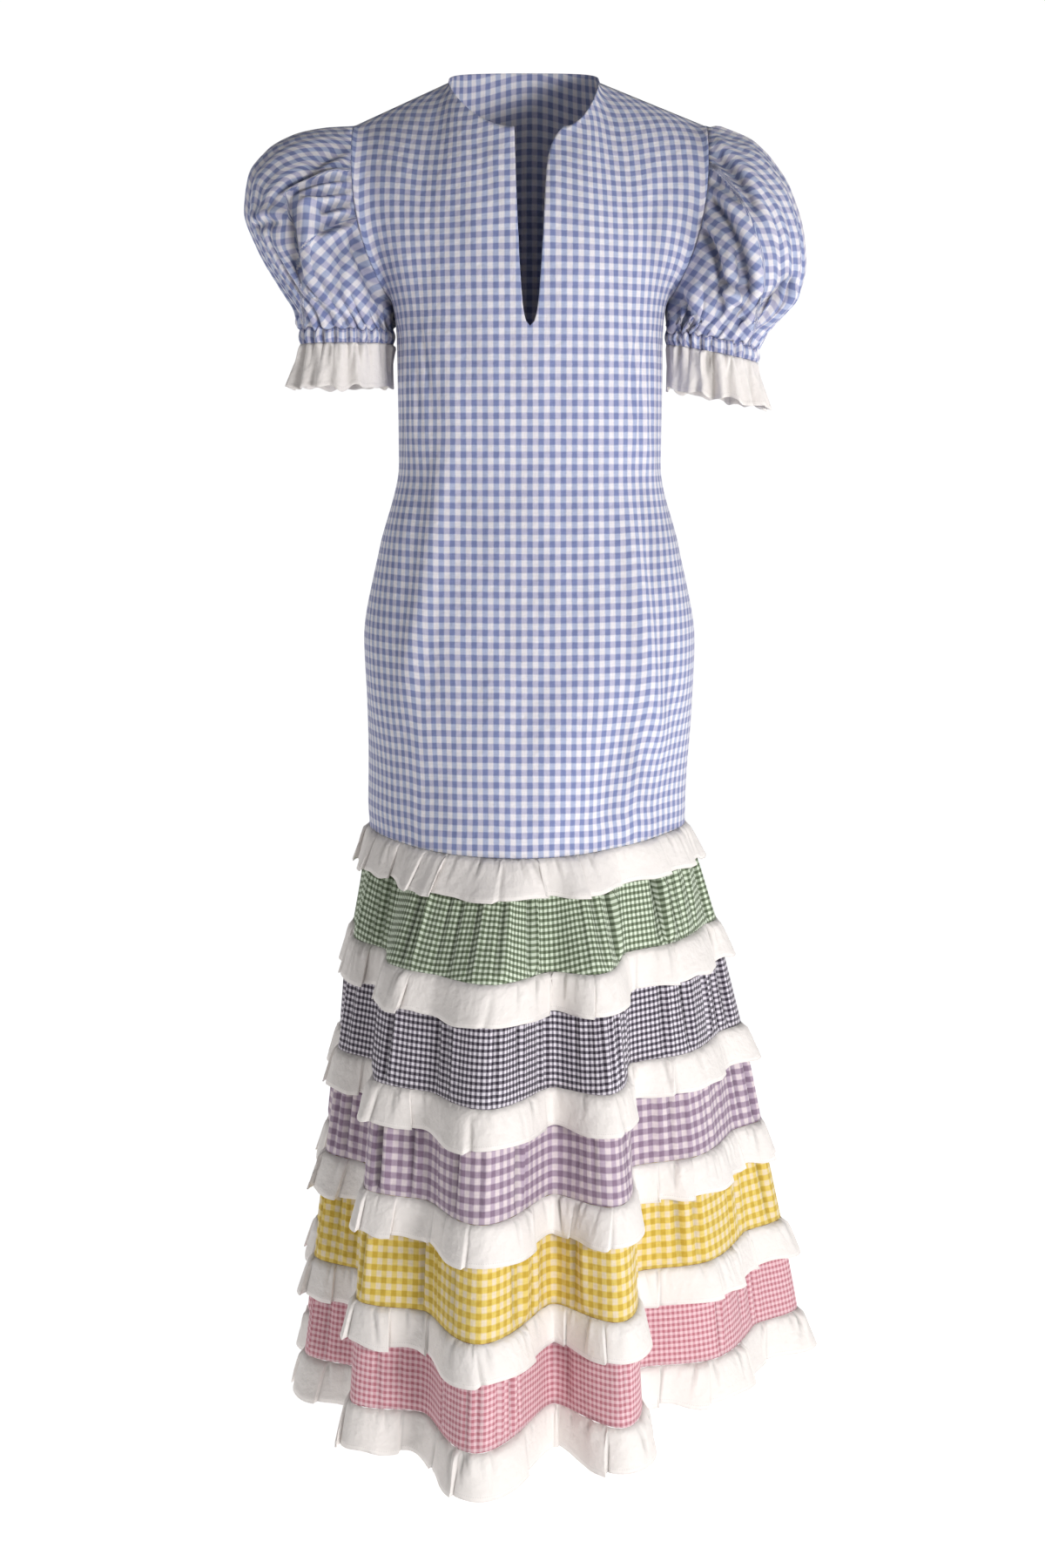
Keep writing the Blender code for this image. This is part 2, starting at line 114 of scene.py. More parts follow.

# Folds: depth and width to the tables' own, and their painted shade
SLEEVE_FOLD_DEPTH = 1.5
SLEEVE_FOLD_WIDTH = 1.15
BODY_FOLD_DEPTH = 1.6
FOLD_FULL = 0.0050  # depth of a fold at which the painted shade is darkest
FOLD_SHADE = 0.44  # how much the painted shade darkens the colour there
RIDGE_AWAY = 1.9  # a ridge's distance from its crease, and its half width, in crease half widths
RIDGE_WIDTH = 1.5
LINE_PIECES = 16  # straight pieces that a curved line is measured as
RIPPLE_SINES = 7
PANEL_RIPPLES = ((11, 0.0012, (9, 5)), (21, 0.0008, (26, 8)))  # seed, height, most waves across and down

# Creases of gathered cloth: how many, the least and the greatest half width, and the same for the depth
BAND_TUCKS = (60, (0.0024, 0.0052), (0.0014, 0.0060))
WAVE_TUCKS = (3, (0.0016, 0.0030), (0.0010, 0.0034))  # to each wave of a skirt ruffle
CROWN_PLEATS = (20, (0.0045, 0.0080), (0.0015, 0.0045))
CUFF_GATHERS = (40, (0.0035, 0.0060), (0.0012, 0.0036))
FRILL_CREASES = (26, (0.0020, 0.0034), (0.0014, 0.0040))
PLEAT_REACH = 0.45  # share of the sleeve that the longest pleat runs down
GATHER_REACH = 0.034  # how far the longest gather runs up from the elastic
TUCK_LEAN = 0.006  # how far a crease usually leans over its height
TUCK_ROOM = 0.0008  # how far a band may stand out under its ruffle

# Uneven waves round a ring: height, least and greatest number of waves
BAND_SWELL = (0.0008, 9, 30)
WEFT_WANDER = (0.0018, 2, 12)
SEAM_SWELL = (0.0005, 60, 140)
HEM_WANDER = (0.0012, 5, 40)
SLEEVE_SWELL = (0.0018, 4, 9)
PUCKER_WANDER = (0.35, 2, 9)
PUCKER_LEAN = (0.006, 5, 17)
CUFF_WANDER = (0.0022, 14, 36)
FRILL_WANDER = (0.0018, 4, 18)
FRILL_FLUTES = (0.0042, 11, 21)

# One wave of a skirt ruffle, in shares of the wave: it rises, drops, and is folded under itself at the drop
WAVE_COLUMNS = ((0.0, 0.76, 24), (0.76, 0.94, 12), (0.94, 1.0, 3))  # from, to, how many
WAVE_RISE = 0.76
WAVE_DROP_AT, WAVE_DROP = 0.80, 0.11
WAVE_TURN_AT, WAVE_TURN = 0.70, 0.28
NOTCH_AT, NOTCH_WIDTH = 0.90, 0.018
NOTCH_DEPTH = 0.0024
TURN_UNDER = 0.0042  # how far the cloth is folded over
WAVE_STRENGTHS = (0.40, 1.0)
WAVE_LEAN = 0.9  # how far a wave usually leans to the side over its height (degrees)
LEAN_COLUMNS = 31  # columns over which the lean goes over into the next wave's

# Ginghams: the checks' period across and down, and the colours where both threads are plain, where the warp
# or the weft is coloured, and where both are
QUARTER_INCH = (0.0112, 0.0127)
EIGHTH_INCH = (0.0056, 0.00635)
GINGHAMS = {
    "blue": (QUARTER_INCH, (222, 218, 223), (168, 176, 203), (180, 178, 201), (119, 128, 169)),
    "green": (EIGHTH_INCH, (214, 223, 205), (146, 158, 136), (128, 140, 116), (82, 92, 72)),
    "navy": (EIGHTH_INCH, (222, 216, 224), (138, 132, 142), (118, 112, 122), (50, 44, 54)),
    "lilac": (QUARTER_INCH, (214, 201, 204), (178, 161, 177), (164, 146, 162), (134, 113, 133)),
    "yellow": (QUARTER_INCH, (220, 204, 176), (218, 194, 112), (214, 188, 98), (192, 160, 62)),
    "pink": (EIGHTH_INCH, (220, 190, 194), (208, 160, 169), (202, 152, 160), (176, 112, 122)),
}
WHITE = (231, 225, 221)
CHECK_WANDER = 0.0008  # how far a check's edge wanders
CHECK_SOFTNESS = 0.22
THREAD_SCALE = 900.0
THREAD_SHADE = 0.22

# Places of a Mix node's sockets for colours
MIX_SHARE, MIX_ONE, MIX_TWO, MIX_RESULT = 0, 6, 7, 2

# Stitched line of a ruffle's hem: height, half width, softness, length of a stitch and its gap, darkness
STITCHES = (0.0045, 0.0007, 0.0004, 0.0024, 0.6)

# The weft of the panels rises by this much, this far from the centre, and not at all below a height
CHEST_DRAPE = 0.017
DRAPE_AT = 0.090
DRAPE_FROM_Z = -0.205

# Stage. A light is its name, place, what it is aimed at, size and power
CAMERA_PLACE = (-0.0074, -2.31, -0.3535)
CAMERA_DOWN = 9.15
FLOOR_Z = -1.5275
FLOOR_SIZE = 14.0
FLOOR_GLOW = 0.80
FLOOR_PALE = 0.90
FLOOR_DIM = 0.70
FLOOR_DIM_GLOW = 0.16  # share of the glow that is left in front
FLOOR_DIM_Y = -1.60  # the floor glows less in front of here, where the camera doesn't see it
FLOOR_LIT_Y = -0.25  # and fully behind here
HORIZON_LIGHT = 1.02
FRONT_LIGHT = 0.44  # the horizon's light in front of the dress and beside it
BEHIND_Y = 0.95  # the parts of a direction along y between which one goes over into the other
BESIDE_Y = 0.72
DOME_LIGHT = 0.18
DOME_FROM = 0.26  # sines of the heights between which the light falls from one to the other
DOME_TO = 0.55
LIGHTS = (
    ("front", (1.3, -2.1, -0.50), (0.0, 0.0, -0.50), 0.6, 44.0),
    ("left", (-2.2, 0.3, -0.45), (0.0, 0.0, -0.60), 1.2, 5.0),
    ("right", (2.2, 0.3, -0.05), (0.0, 0.0, -0.15), 0.6, 4.0),
)

BODY_SECTIONS = np.array([
    # z, half_width, front, back, power
    (-0.225, 0.1390, 0.121, 0.094, 2.3),
    (-0.275, 0.1375, 0.122, 0.092, 2.3),
    (-0.385, 0.1370, 0.119, 0.094, 2.4),
    (-0.470, 0.1570, 0.127, 0.110, 2.5),
    (-0.570, 0.1740, 0.146, 0.128, 2.5),
    (-0.766, 0.1720, 0.172, 0.146, 2.2),
])
FOLDS = np.array([
    # azimuth, knee, hem, growth
    (-164, 0.148, 0.286, 0.80),
    (-146, 0.150, 0.228, 0.80),
    (-128, 0.157, 0.282, 0.80),
    (-111, 0.164, 0.226, 0.80),
    (-95, 0.170, 0.250, 0.80),
    (-81, 0.172, 0.226, 0.75),
    (-66, 0.171, 0.262, 0.70),
    (-51, 0.171, 0.232, 0.60),
    (-37, 0.175, 0.292, 0.45),
    (-24, 0.177, 0.272, 0.25),
    (-9, 0.176, 0.344, 0.40),
    (6, 0.171, 0.232, 0.30),
    (18, 0.164, 0.300, 0.45),
    (38, 0.154, 0.186, 0.60),
    (60, 0.155, 0.234, 0.70),
    (82, 0.165, 0.250, 0.80),
    (94, 0.168, 0.303, 0.80),
    (109, 0.164, 0.236, 0.80),
    (125, 0.158, 0.292, 0.80),
    (143, 0.151, 0.228, 0.80),
    (161, 0.147, 0.284, 0.80),
    (179, 0.146, 0.228, 0.80),
])
# Skirt bands: colour, height of the lower seam
BANDS = (("green", -0.875), ("navy", -0.9925), ("lilac", -1.103), ("yellow", -1.218), ("pink", -1.3245))
# Ruffles from the knee down: waves round each, depth from its seam to its free edge
RUFFLES = ((22, 0.036), (22, 0.039), (22, 0.038), (33, 0.039), (33, 0.038), (33, 0.042))
COLUMNS_PER_FOLD = 3
HEM_Z = BANDS[-1][1]
# Sleeves: name, side, height of the cuff's lower seam, how far the cuff dips outwards (degrees)
SLEEVES = (("left", -1, -0.262, 0.0), ("right", 1, -0.272, 11.0))
SLIT_EDGES = {-1: (0.0155, 0.000), 1: (0.017, 0.016)}
CORNER_POWER = 12
CROWN = np.array([
    # way, left, right
    (0.00, 0.000, 0.000),
    (0.05, 0.030, 0.020),
    (0.12, 0.057, 0.043),
    (0.22, 0.078, 0.058),
    (0.36, 0.090, 0.070),
    (0.52, 0.086, 0.0735),
    (0.68, 0.064, 0.069),
    (0.82, 0.034, 0.053),
    (0.93, 0.009, 0.018),
    (1.00, 0.000, 0.000),
])

# Fineness of the surfaces
PANEL_COLUMNS = 84
PANEL_LOWER_ROWS = 100
PANEL_UPPER_ROWS = 44
BAND_COLUMNS = 840
BAND_ROWS = 12
RUFFLE_ROWS = 8
SLEEVE_COLUMNS = 340
SLEEVE_ROWS = 96
CUFF_COLUMNS = 360
CUFF_ROWS = 9
FRILL_COLUMNS = 440
FRILL_ROWS = 20
RELAX_PASSES = 90
RELAX_ROWS = 8

# Folds, as seen from the front, in millimetres: a curved line by its start, middle and end, half width of its
# crease, height of the ridge on the left of its way, depth of the crease
FRONT_FOLDS = np.array([
    # x0, z0, xm, zm, x1, z1, width, ridge, crease
    (-107, -235, -100, -300, -98, -376, 9.0, 1.6, 0.0),
    (-96, -340, -118, -480, -154, -670, 9.0, 4.0, 1.0),
    (150, -690, 133, -560, 106, -390, 9.0, 4.0, 1.0),
    (-136, -236, -130, -300, -133, -420, 3.4, 1.4, 1.4),
    (-130, -238, -122, -290, -123, -400, 3.0, 1.4, 1.3),
    (-123, -240, -113, -290, -112, -370, 3.2, 1.3, 1.3),
    (-116, -238, -104, -275, -101, -330, 3.4, 1.1, 1.1),
    (134, -420, 130, -320, 137, -236, 3.4, 1.4, 1.4),
    (126, -410, 121, -300, 131, -236, 3.0, 1.5, 1.4),
    (113, -390, 112, -300, 125, -236, 3.2, 1.4, 1.4),
    (101, -350, 103, -285, 118, -236, 3.4, 1.2, 1.2),
    (-66, -550, -74, -660, -86, -766, 20.0, 2.8, 0.0),
    (78, -766, 70, -680, 64, -590, 20.0, 2.8, 0.0),
    (-56, -72, -41, -115, -26, -175, 7.0, 1.8, 0.0),
    (30, -190, 36, -120, 50, -70, 8.0, 1.6, 0.0),
    (-150, -75, -130, -130, -118, -190, 8.0, 1.4, 0.0),
    (118, -190, 128, -130, 148, -80, 8.0, 1.4, 0.0),
]) / 1000
SLEEVE_FOLDS = {
    "left": np.array([
        (-150, -66, -195, -78, -232, -108, 5.0, 4.5, 4.5),
        (-150, -84, -212, -97, -258, -123, 2.6, 3.5, 4.5),
        (-150, -97, -212, -108, -244, -127, 2.6, 3.5, 4.5),
        (-150, -106, -203, -118, -240, -125, 2.6, 3.0, 4.5),
        (-150, -118, -194, -131, -211, -140, 2.8, 3.5, 5.0),
        (-150, -132, -196, -149, -213, -162, 3.6, 4.0, 6.0),
        (-243, -118, -237, -160, -231, -240, 7.5, 6.5, 7.0),
        (-233, -212, -210, -228, -190, -245, 3.5, 2.5, 1.5),
        (-178, -146, -160, -194, -137, -240, 7.0, 3.0, 8.5),
        (-280, -152, -260, -146, -238, -150, 4.0, 4.0, 3.5),
        (-186, -162, -188, -190, -188, -230, 7.0, 1.0, 3.5),
        (-215, -170, -212, -200, -205, -238, 6.0, 1.4, 2.0),
    ]) / 1000,
    "right": np.array([
        (160, -58, 204, -98, 230, -152, 4.5, 4.0, 6.0),
        (165, -94, 198, -115, 211, -132, 3.5, 3.5, 5.0),
        (160, -100, 204, -163, 223, -256, 5.0, 5.0, 8.0),
        (155, -138, 184, -177, 192, -256, 4.5, 4.5, 6.5),
        (221, -217, 202, -208, 176, -206, 3.5, 4.0, 4.5),
        (206, -104, 230, -143, 258, -193, 2.5, 1.6, 0.6),
        (270, -196, 245, -222, 222, -240, 4.5, 4.5, 7.5),
        (168, -88, 185, -99, 196, -107, 3.0, 3.0, 3.5),
        (146, -206, 156, -230, 168, -258, 6.0, 3.0, 6.0),
        (170, -126, 190, -160, 200, -196, 3.5, 2.5, 3.0),
        (208, -225, 212, -238, 214, -256, 5.0, 2.0, 4.0),
    ]) / 1000,
}

SLEEVE_GRAIN = {
    "left": (
        (((-0.150, -0.086, -0.205, -0.100, -0.258, -0.128), (-0.243, -0.118, -0.237, -0.160, -0.231, -0.240)),
         -4.0, (-0.215, -0.115)),
        (((-0.150, -0.132, -0.196, -0.149, -0.232, -0.176), (-0.243, -0.118, -0.237, -0.160, -0.231, -0.240)),
         -42.0, (-0.200, -0.160)),
    ),
    "right": (
        (((0.226, -0.262, 0.222, -0.150, 0.160, -0.070),), -36.0, (0.200, -0.150)),
    ),
}


def smooth_table(places, values, at):
    """Curve through a table's points that never overshoots. Between two points it is a cubic, whose slope at
    each is the harmonic mean of the chords on its two sides, or zero at a high or a low."""
    at = np.asarray(at, float)
    step = np.diff(places)
    chord = np.diff(values) / step
    before, after = chord[:-1], chord[1:]
    same_way = before * after > 0
    mean = np.where(same_way, 2 * before * after / np.where(same_way, before + after, 1.0), 0.0)
    slope = np.concatenate((chord[:1], mean, chord[-1:]))
    row = np.clip(np.searchsorted(places, at, side="right") - 1, 0, len(step) - 1)
    u = (at - places[row]) / step[row]
    low, high = values[row], values[row + 1]
    return (low * (1 + 2 * u) * (1 - u) ** 2 + high * u * u * (3 - 2 * u)
            + step[row] * u * (1 - u) * (slope[row] * (1 - u) - slope[row + 1] * u))


def around(column, azimuth):
    """A column of the fold table, read at any azimuth on the closed curve through it."""
    places = np.concatenate([FOLDS[:, 0] + turn for turn in (-360, 0, 360)])
    return smooth_table(places, np.tile(FOLDS[:, column], 3), azimuth)


def ease(u):
    """Smooth step from 0 to 1."""
    u = np.clip(u, 0.0, 1.0)
    return u * u * (3 - 2 * u)


def skirt_share(z):
    """Share of the way from the knee seam down to the last seam."""
    return np.maximum(0.0, (KNEE_Z - z) / (KNEE_Z - HEM_Z))


def seam_z(azimuth, z):
    """Height of a seam round the dress: it dips at the front, by the squared cosine of the azimuth."""
    ahead = np.maximum(np.cos(np.radians(azimuth)), 0.0) ** 2
    return z - FRONT_DIP * ahead * np.maximum(0.0, 1 - skirt_share(z))


def skirt_radius(azimuth, z):
    """The knee's radius plus the fold, which grows by a power of the way down to the last seam."""
    knee, hem, growth = (around(column, azimuth) for column in (1, 2, 3))
    return knee + (hem - knee) * skirt_share(z) ** growth


def body_radius(azimuth, z):
    """A squared oval at each height, which turns into the skirt's round between the hip and the knee."""
    half_width, front, back, power = (
        smooth_table(-BODY_SECTIONS[:, 0], BODY_SECTIONS[:, column], -z) for column in (1, 2, 3, 4))
    turn = np.radians(azimuth)
    depth = np.where(np.cos(turn) >= 0, front, back)
    oval = ((np.abs(np.sin(turn)) / half_width) ** power
            + (np.abs(np.cos(turn)) / depth) ** power) ** (-1 / power)
    share = ease((HIP_Z - z) / (HIP_Z - KNEE_Z))
    return oval + (skirt_radius(azimuth, KNEE_Z) - oval) * share


def ring_at(azimuth, radius, z):
    """Points at these azimuths, radii and heights."""
    turn = np.radians(azimuth)
    return np.stack(np.broadcast_arrays(radius * np.sin(turn), -radius * np.cos(turn), z), axis=-1)


def unit(vectors):
    """Vectors of length 1."""
    return vectors / np.maximum(np.linalg.norm(vectors, axis=-1, keepdims=True), 1e-12)


def lengths(points, axis):
    """Distance travelled along one axis of a grid of points, from 0."""
    step = np.linalg.norm(np.diff(points, axis=axis), axis=-1)
    start = np.zeros_like(np.take(step, [0], axis=axis))
    return np.concatenate((start, np.cumsum(step, axis=axis)), axis=axis)


def closed_lengths(ring):
    """Distance travelled round a closed ring of points and back to its start, one value more than points."""
    return lengths(np.concatenate((ring, ring[:1])), 0)


def grid_normals(points, closed):
    """Unit normals of a grid, the direction along a row crossed with the direction down the columns."""
    if closed:
        along = np.roll(points, -1, axis=1) - np.roll(points, 1, axis=1)
    else:
        along = np.gradient(points, axis=1)
    return unit(np.cross(along, np.gradient(points, axis=0)))


def ripple(seed, waves, *places):
    """Irregular wave from -1 to 1: sines at random slants, up to so many waves along each place."""
    random = np.random.default_rng(seed)
    total = 0.0
    for _ in range(RIPPLE_SINES):
        phase = random.uniform(0, 2 * np.pi)
        for place, count in zip(places, waves):
            phase = phase + 2 * np.pi * random.uniform(-1, 1) * count * place
        total = total + np.sin(phase)
    return total * 2 / RIPPLE_SINES


def round_ripple(seed, wave, share):
    """Irregular wave round a closed ring: sines with whole numbers of waves, each at a random height."""
    height, lowest, highest = wave
    random = np.random.default_rng(seed)
    total = 0.0
    for count in range(lowest, highest + 1):
        total = total + random.normal() * np.sin(2 * np.pi * (count * share + random.uniform()))
    return height * (total / math.sqrt(highest - lowest + 1))


def beside_line(x, z, line):
    """Share of the way along a curved line, and distance from it, positive on its left. The line is a
    parabola through its start, middle and end, measured as short straight pieces."""
    x0, z0, xm, zm, x1, z1 = line
    s = np.linspace(0, 1, LINE_PIECES + 1)
    line_x = (1 - s) ** 2 * x0 + 2 * s * (1 - s) * (2 * xm - (x0 + x1) / 2) + s * s * x1
    line_z = (1 - s) ** 2 * z0 + 2 * s * (1 - s) * (2 * zm - (z0 + z1) / 2) + s * s * z1
    share = np.zeros(x.shape)
    away = np.full(x.shape, np.inf)
    for k in range(LINE_PIECES):
        dx, dz = line_x[k + 1] - line_x[k], line_z[k + 1] - line_z[k]
        along = np.clip(((x - line_x[k]) * dx + (z - line_z[k]) * dz) / (dx * dx + dz * dz), 0, 1)
        off_x, off_z = x - line_x[k] - along * dx, z - line_z[k] - along * dz
        distance = np.hypot(off_x, off_z)
        nearer = distance < np.abs(away)
        share = np.where(nearer, (k + along) / LINE_PIECES, share)
        away = np.where(nearer, distance * np.where(dx * off_z - dz * off_x >= 0, 1, -1), away)
    return share, away


def crease_profile(away, width, ridge, crease):
    """Height across a fold: a narrow bell of a hollow, and a lower and wider bell of a ridge on its left."""
    hollow = np.exp(-(away / width) ** 2)
    return ridge * np.exp(-((away - RIDGE_AWAY * width) / (RIDGE_WIDTH * width)) ** 2) - crease * hollow


def fold_heights(folds, x, z):
    """Height of a table's folds, each grown from nothing at its start and faded to nothing at its end."""
    total = np.zeros(x.shape)
    for *line, width, ridge, crease in folds:
        share, away = beside_line(x, z, line)
        total += crease_profile(away, width, ridge, crease) * ease(share / 0.25) * ease((1 - share) / 0.35)
    return total


def fold_shade(folds, x, z):
    """Painted shade along a table's folds, from 0 to 1: most in the hollow, fading slowly away from the
    ridge.
    """
    darkest = np.zeros(x.shape)
    for *line, width, _, crease in folds:
        share, away = beside_line(x, z, line)
        spread = np.where(away > 0, 0.8 * width, 2.1 * width)
        ends = ease(share / 0.12) * ease((1 - share) / 0.25)
        darkest = np.maximum(darkest, np.exp(-(away / spread) ** 2) * ends * min(1.0, crease / FOLD_FULL))
    return darkest


def stronger(folds):
    """A sleeve's folds, as wide and as deep as they are made."""
    return folds * ([1] * 6 + [SLEEVE_FOLD_WIDTH] + [SLEEVE_FOLD_DEPTH] * 2)


def mirrored(folds):
    """The same folds on the other side of the dress, each drawn the other way so that its ridge stays put."""
    return folds[:, [4, 5, 2, 3, 0, 1, 6, 7, 8]] * [-1, 1, -1, 1, -1, 1, 1, 1, 1]


def tuck_heights(seed, tucks, length, along, share):
    """Creases that run down from a gathered seam. Each is at a random place, leans a little, and fades at a
    random share of the height."""
    count, widths, depths = tucks
    random = np.random.default_rng(seed)
    total = np.zeros(np.broadcast(along, share).shape)
    for _ in range(count):
        place, width, depth = random.uniform(0, length), random.uniform(*widths), random.uniform(*depths)
        reach, lean = random.uniform(0.40, 1.0), random.normal() * TUCK_LEAN
        away = (along - place - lean * share + length / 2) % length - length / 2
        total += np.clip(1 - share / reach, 0, 1) ** 0.8 * crease_profile(away, width, 0.8 * depth, depth)
    return total


def even_azimuths(z, count):
    """Azimuths at even distances round the skirt at a height."""
    fine = np.linspace(-180, 180, 7201)
    travelled = lengths(ring_at(fine, skirt_radius(fine, z), z), 0)
    return np.interp(np.linspace(0, travelled[-1], count, endpoint=False), travelled, fine)


def cloth_object(name, points, faces, loop_uv, material, painted_shade):
    """Mesh of one layer of cloth, with its place on the flat cut in metres as the UV map, and the painted
    shade of each point in the cloth's hollows, from 0 to 1, as an attribute. It is made WALL thick inwards."""
    mesh = bpy.data.meshes.new(name)
    mesh.vertices.add(len(points))
    mesh.vertices.foreach_set("co", points.astype(np.float32).ravel())
    mesh.loops.add(faces.size)
    mesh.loops.foreach_set("vertex_index", faces.astype(np.int32).ravel())
    mesh.polygons.add(len(faces))
    mesh.polygons.foreach_set("loop_start", np.arange(0, faces.size, 4, dtype=np.int32))
    mesh.polygons.foreach_set("loop_total", np.full(len(faces), 4, dtype=np.int32))
    mesh.update(calc_edges=True)
    mesh.uv_layers.new(name="cloth").data.foreach_set("uv", loop_uv.astype(np.float32).ravel())
    mesh.attributes.new("painted_shade", "FLOAT", "POINT").data.foreach_set("value", painted_shade.astype(np.float32).ravel())
    mesh.shade_smooth()
    mesh.materials.append(material)
    piece = bpy.data.objects.new(name, mesh)
    bpy.context.scene.collection.objects.link(piece)
    thick = piece.modifiers.new("cloth", "SOLIDIFY")
    thick.thickness = WALL
    thick.offset = -1.0
    return piece


def painted_crease_shade(relief):
    """How much painted shade a point gets in a hollow of the cloth, from 0 to 1, by its height over the
    smooth cloth.
    """
    return ease(-relief / FOLD_FULL)


def grid_object(name, points, u, v, material, painted_shade):
    """Cloth object over a closed grid of rows from top to bottom. u has one value more than a row."""
    rows, columns = points.shape[:2]
    i, j = np.meshgrid(np.arange(rows - 1), np.arange(columns), indexing="ij")
    across = (j + 1) % columns
    here, below = i * columns, (i + 1) * columns
    faces = np.stack((here + j, below + j, below + across, here + across), -1)
    u = np.broadcast_to(u, (rows, columns + 1))
    v = np.broadcast_to(v, (rows, columns))
    uv = np.stack((
        np.stack((u[i, j], u[i + 1, j], u[i + 1, j + 1], u[i, j + 1]), -1),
        np.stack((v[i, j], v[i + 1, j], v[i + 1, across], v[i, across]), -1)), -1)
    painted_shade = np.broadcast_to(painted_shade, (rows, columns))
    return cloth_object(name, points.reshape(-1, 3), faces.reshape(-1, 4), uv.reshape(-1, 2), material, painted_shade)


def round_object(name, grid, u, v, side, material, painted_shade):
    """Closed grid object, its columns turned round where side is 1, so that its outside is outside."""
    v, painted_shade = (np.broadcast_to(values, grid.shape[:2]) for values in (v, painted_shade))
    if side > 0:
        grid, v, painted_shade = grid[:, ::-1], v[:, ::-1], painted_shade[:, ::-1]
        last_step = u[:, -1:] - u[:, -2:-1]
        u = np.concatenate((u[:, -2::-1], u[:, :1] - last_step), axis=1)
    return grid_object(name, grid, u, v, material, painted_shade)


def declare(piece, node):
    """Attaches a piece to the root body, and hides the solid that it stands for."""
    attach(piece, "root")
    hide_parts(node)


def white_ruffle(name, grid, side, material, painted_shade):
    """Ruffle's piece. On its flat cut, u runs along the free edge, and v is the distance up from it."""
    length, down = closed_lengths(grid[-1]), lengths(grid, 0)
    piece = round_object(name + "_cloth", grid, length[None], down[-1:] - down, side, material, painted_shade)
    declare(piece, name)


def armhole_point(side, way, t):
    """Edge of the armhole. t is 0 at the shoulder and pi at the armpit, and way is -1 in front, 1 behind."""
    middle = (ARMPIT_Z - SHOULDER_DROP) / 2
    half_height = (-SHOULDER_DROP - ARMPIT_Z) / 2
    bow = np.where(np.asarray(way) < 0, ARMHOLE_FRONT, ARMHOLE_BACK)
    tuck = (SHOULDER_X - BODY_SECTIONS[0, 1]) * ((1 - np.cos(t)) / 2) ** ARMHOLE_POWER
    return np.stack((side * (SHOULDER_X - tuck), way * bow * np.sin(t), middle + half_height * np.cos(t)), -1)


def slit_x(side, z):
    """How far aside the slit's edge lies: a power of the height above its foot, and the turned corner."""
    share = np.clip((z - SLIT_FOOT_Z) / (-NECK_FRONT_DROP - SLIT_FOOT_Z), 0.0, 1.0)
    drawn, corner = SLIT_EDGES[side]
    return side * (drawn * share ** SLIT_SPREAD + corner * share ** CORNER_POWER)


def panel_top(side, way, columns):
    """Top edge from the centre: a quarter of the neck's oval, then the straight shoulder seam."""
    half = columns // 2
    turn = np.linspace(0, np.pi / 2, half + 1)
    neck_z, neck_y, power = ((-NECK_FRONT_DROP, NECK_FRONT_DEPTH, NECK_FRONT_POWER) if way < 0
                             else (NECK_BACK_RISE, NECK_BACK_DEPTH, NECK_BACK_POWER))
    start_x = slit_x(side, neck_z) if way < 0 else 0.0
    neck_x = side * NECK_HALF_WIDTH + NECK_SHIFT
    ahead = np.maximum(np.cos(turn), 0.0)
    across = start_x + (neck_x - start_x) * np.sin(turn)
    neck = np.stack((across, way * neck_y * ahead, neck_z * ahead ** power), axis=1)
    neck[-1, 1:] = 0.0
    tip = np.array((side * SHOULDER_X, 0.0, -SHOULDER_DROP))
    along = np.linspace(0, 1, columns - half + 1)[1:, None]
    return np.concatenate((neck, neck[-1] + (tip - neck[-1]) * along))


def panel_centre(side, way, rows, start, end):
    """Centre line above the armpit, over the chest or the back, or the slit's edge in front."""
    share = np.linspace(0, 1, rows + 1)
    z = start[2] + (end[2] - start[2]) * share
    swell = (CHEST_SWELL if way < 0 else BACK_SWELL) * np.sin(np.pi * share)
    y = start[1] + (end[1] - start[1]) * share ** CENTRE_LEAN + way * swell
    x = slit_x(side, z) if way < 0 else np.zeros_like(z)
    return np.stack((x, y, z), axis=1)


def quarter_panel(side, way):
    """Half of a panel as a grid, rows from the knee up and columns from the centre to the side. Above the
    armpit it is the surface blended between its four edges: armpit row, armhole, top edge and centre."""
    columns = PANEL_COLUMNS
    share = np.linspace(0, 1, columns + 1)
    azimuth = side * 90 * share if way < 0 else side * (180 - 90 * share)
    z = np.linspace(KNEE_Z, ARMPIT_Z, PANEL_LOWER_ROWS + 1)
    z[np.argmin(np.abs(z - SLIT_FOOT_Z))] = SLIT_FOOT_Z
    dip = np.clip((DIP_START_Z - z) / (DIP_START_Z - KNEE_Z), 0, 1)[:, None]
    level = z[:, None] + (seam_z(azimuth, KNEE_Z) - KNEE_Z) * dip
    lower = ring_at(azimuth[None], body_radius(azimuth[None], z[:, None]), level)
    lower[:, 0, 0] = 0.0
    if way < 0:
        lower[..., 0] += slit_x(side, z)[:, None] * (1 - share) ** 3
    lower[:, -1, 1] = 0.0

    bottom, top = lower[-1], panel_top(side, way, columns)
    centre = panel_centre(side, way, PANEL_UPPER_ROWS, bottom[0], top[0])[:, None]
    edge = armhole_point(side, way, np.linspace(np.pi, 0, PANEL_UPPER_ROWS + 1))[:, None]
    u = share[None, :, None]
    v = np.linspace(0, 1, PANEL_UPPER_ROWS + 1)[:, None, None]
    corners = (1 - u) * ((1 - v) * bottom[0] + v * top[0]) + u * ((1 - v) * bottom[-1] + v * top[-1])
    upper = (1 - v) * bottom + v * top + (1 - u) * centre + u * edge - corners
    upper[:, -1, 1] = edge[:, 0, 1]
    return relaxed(np.concatenate((lower, upper[1:])))


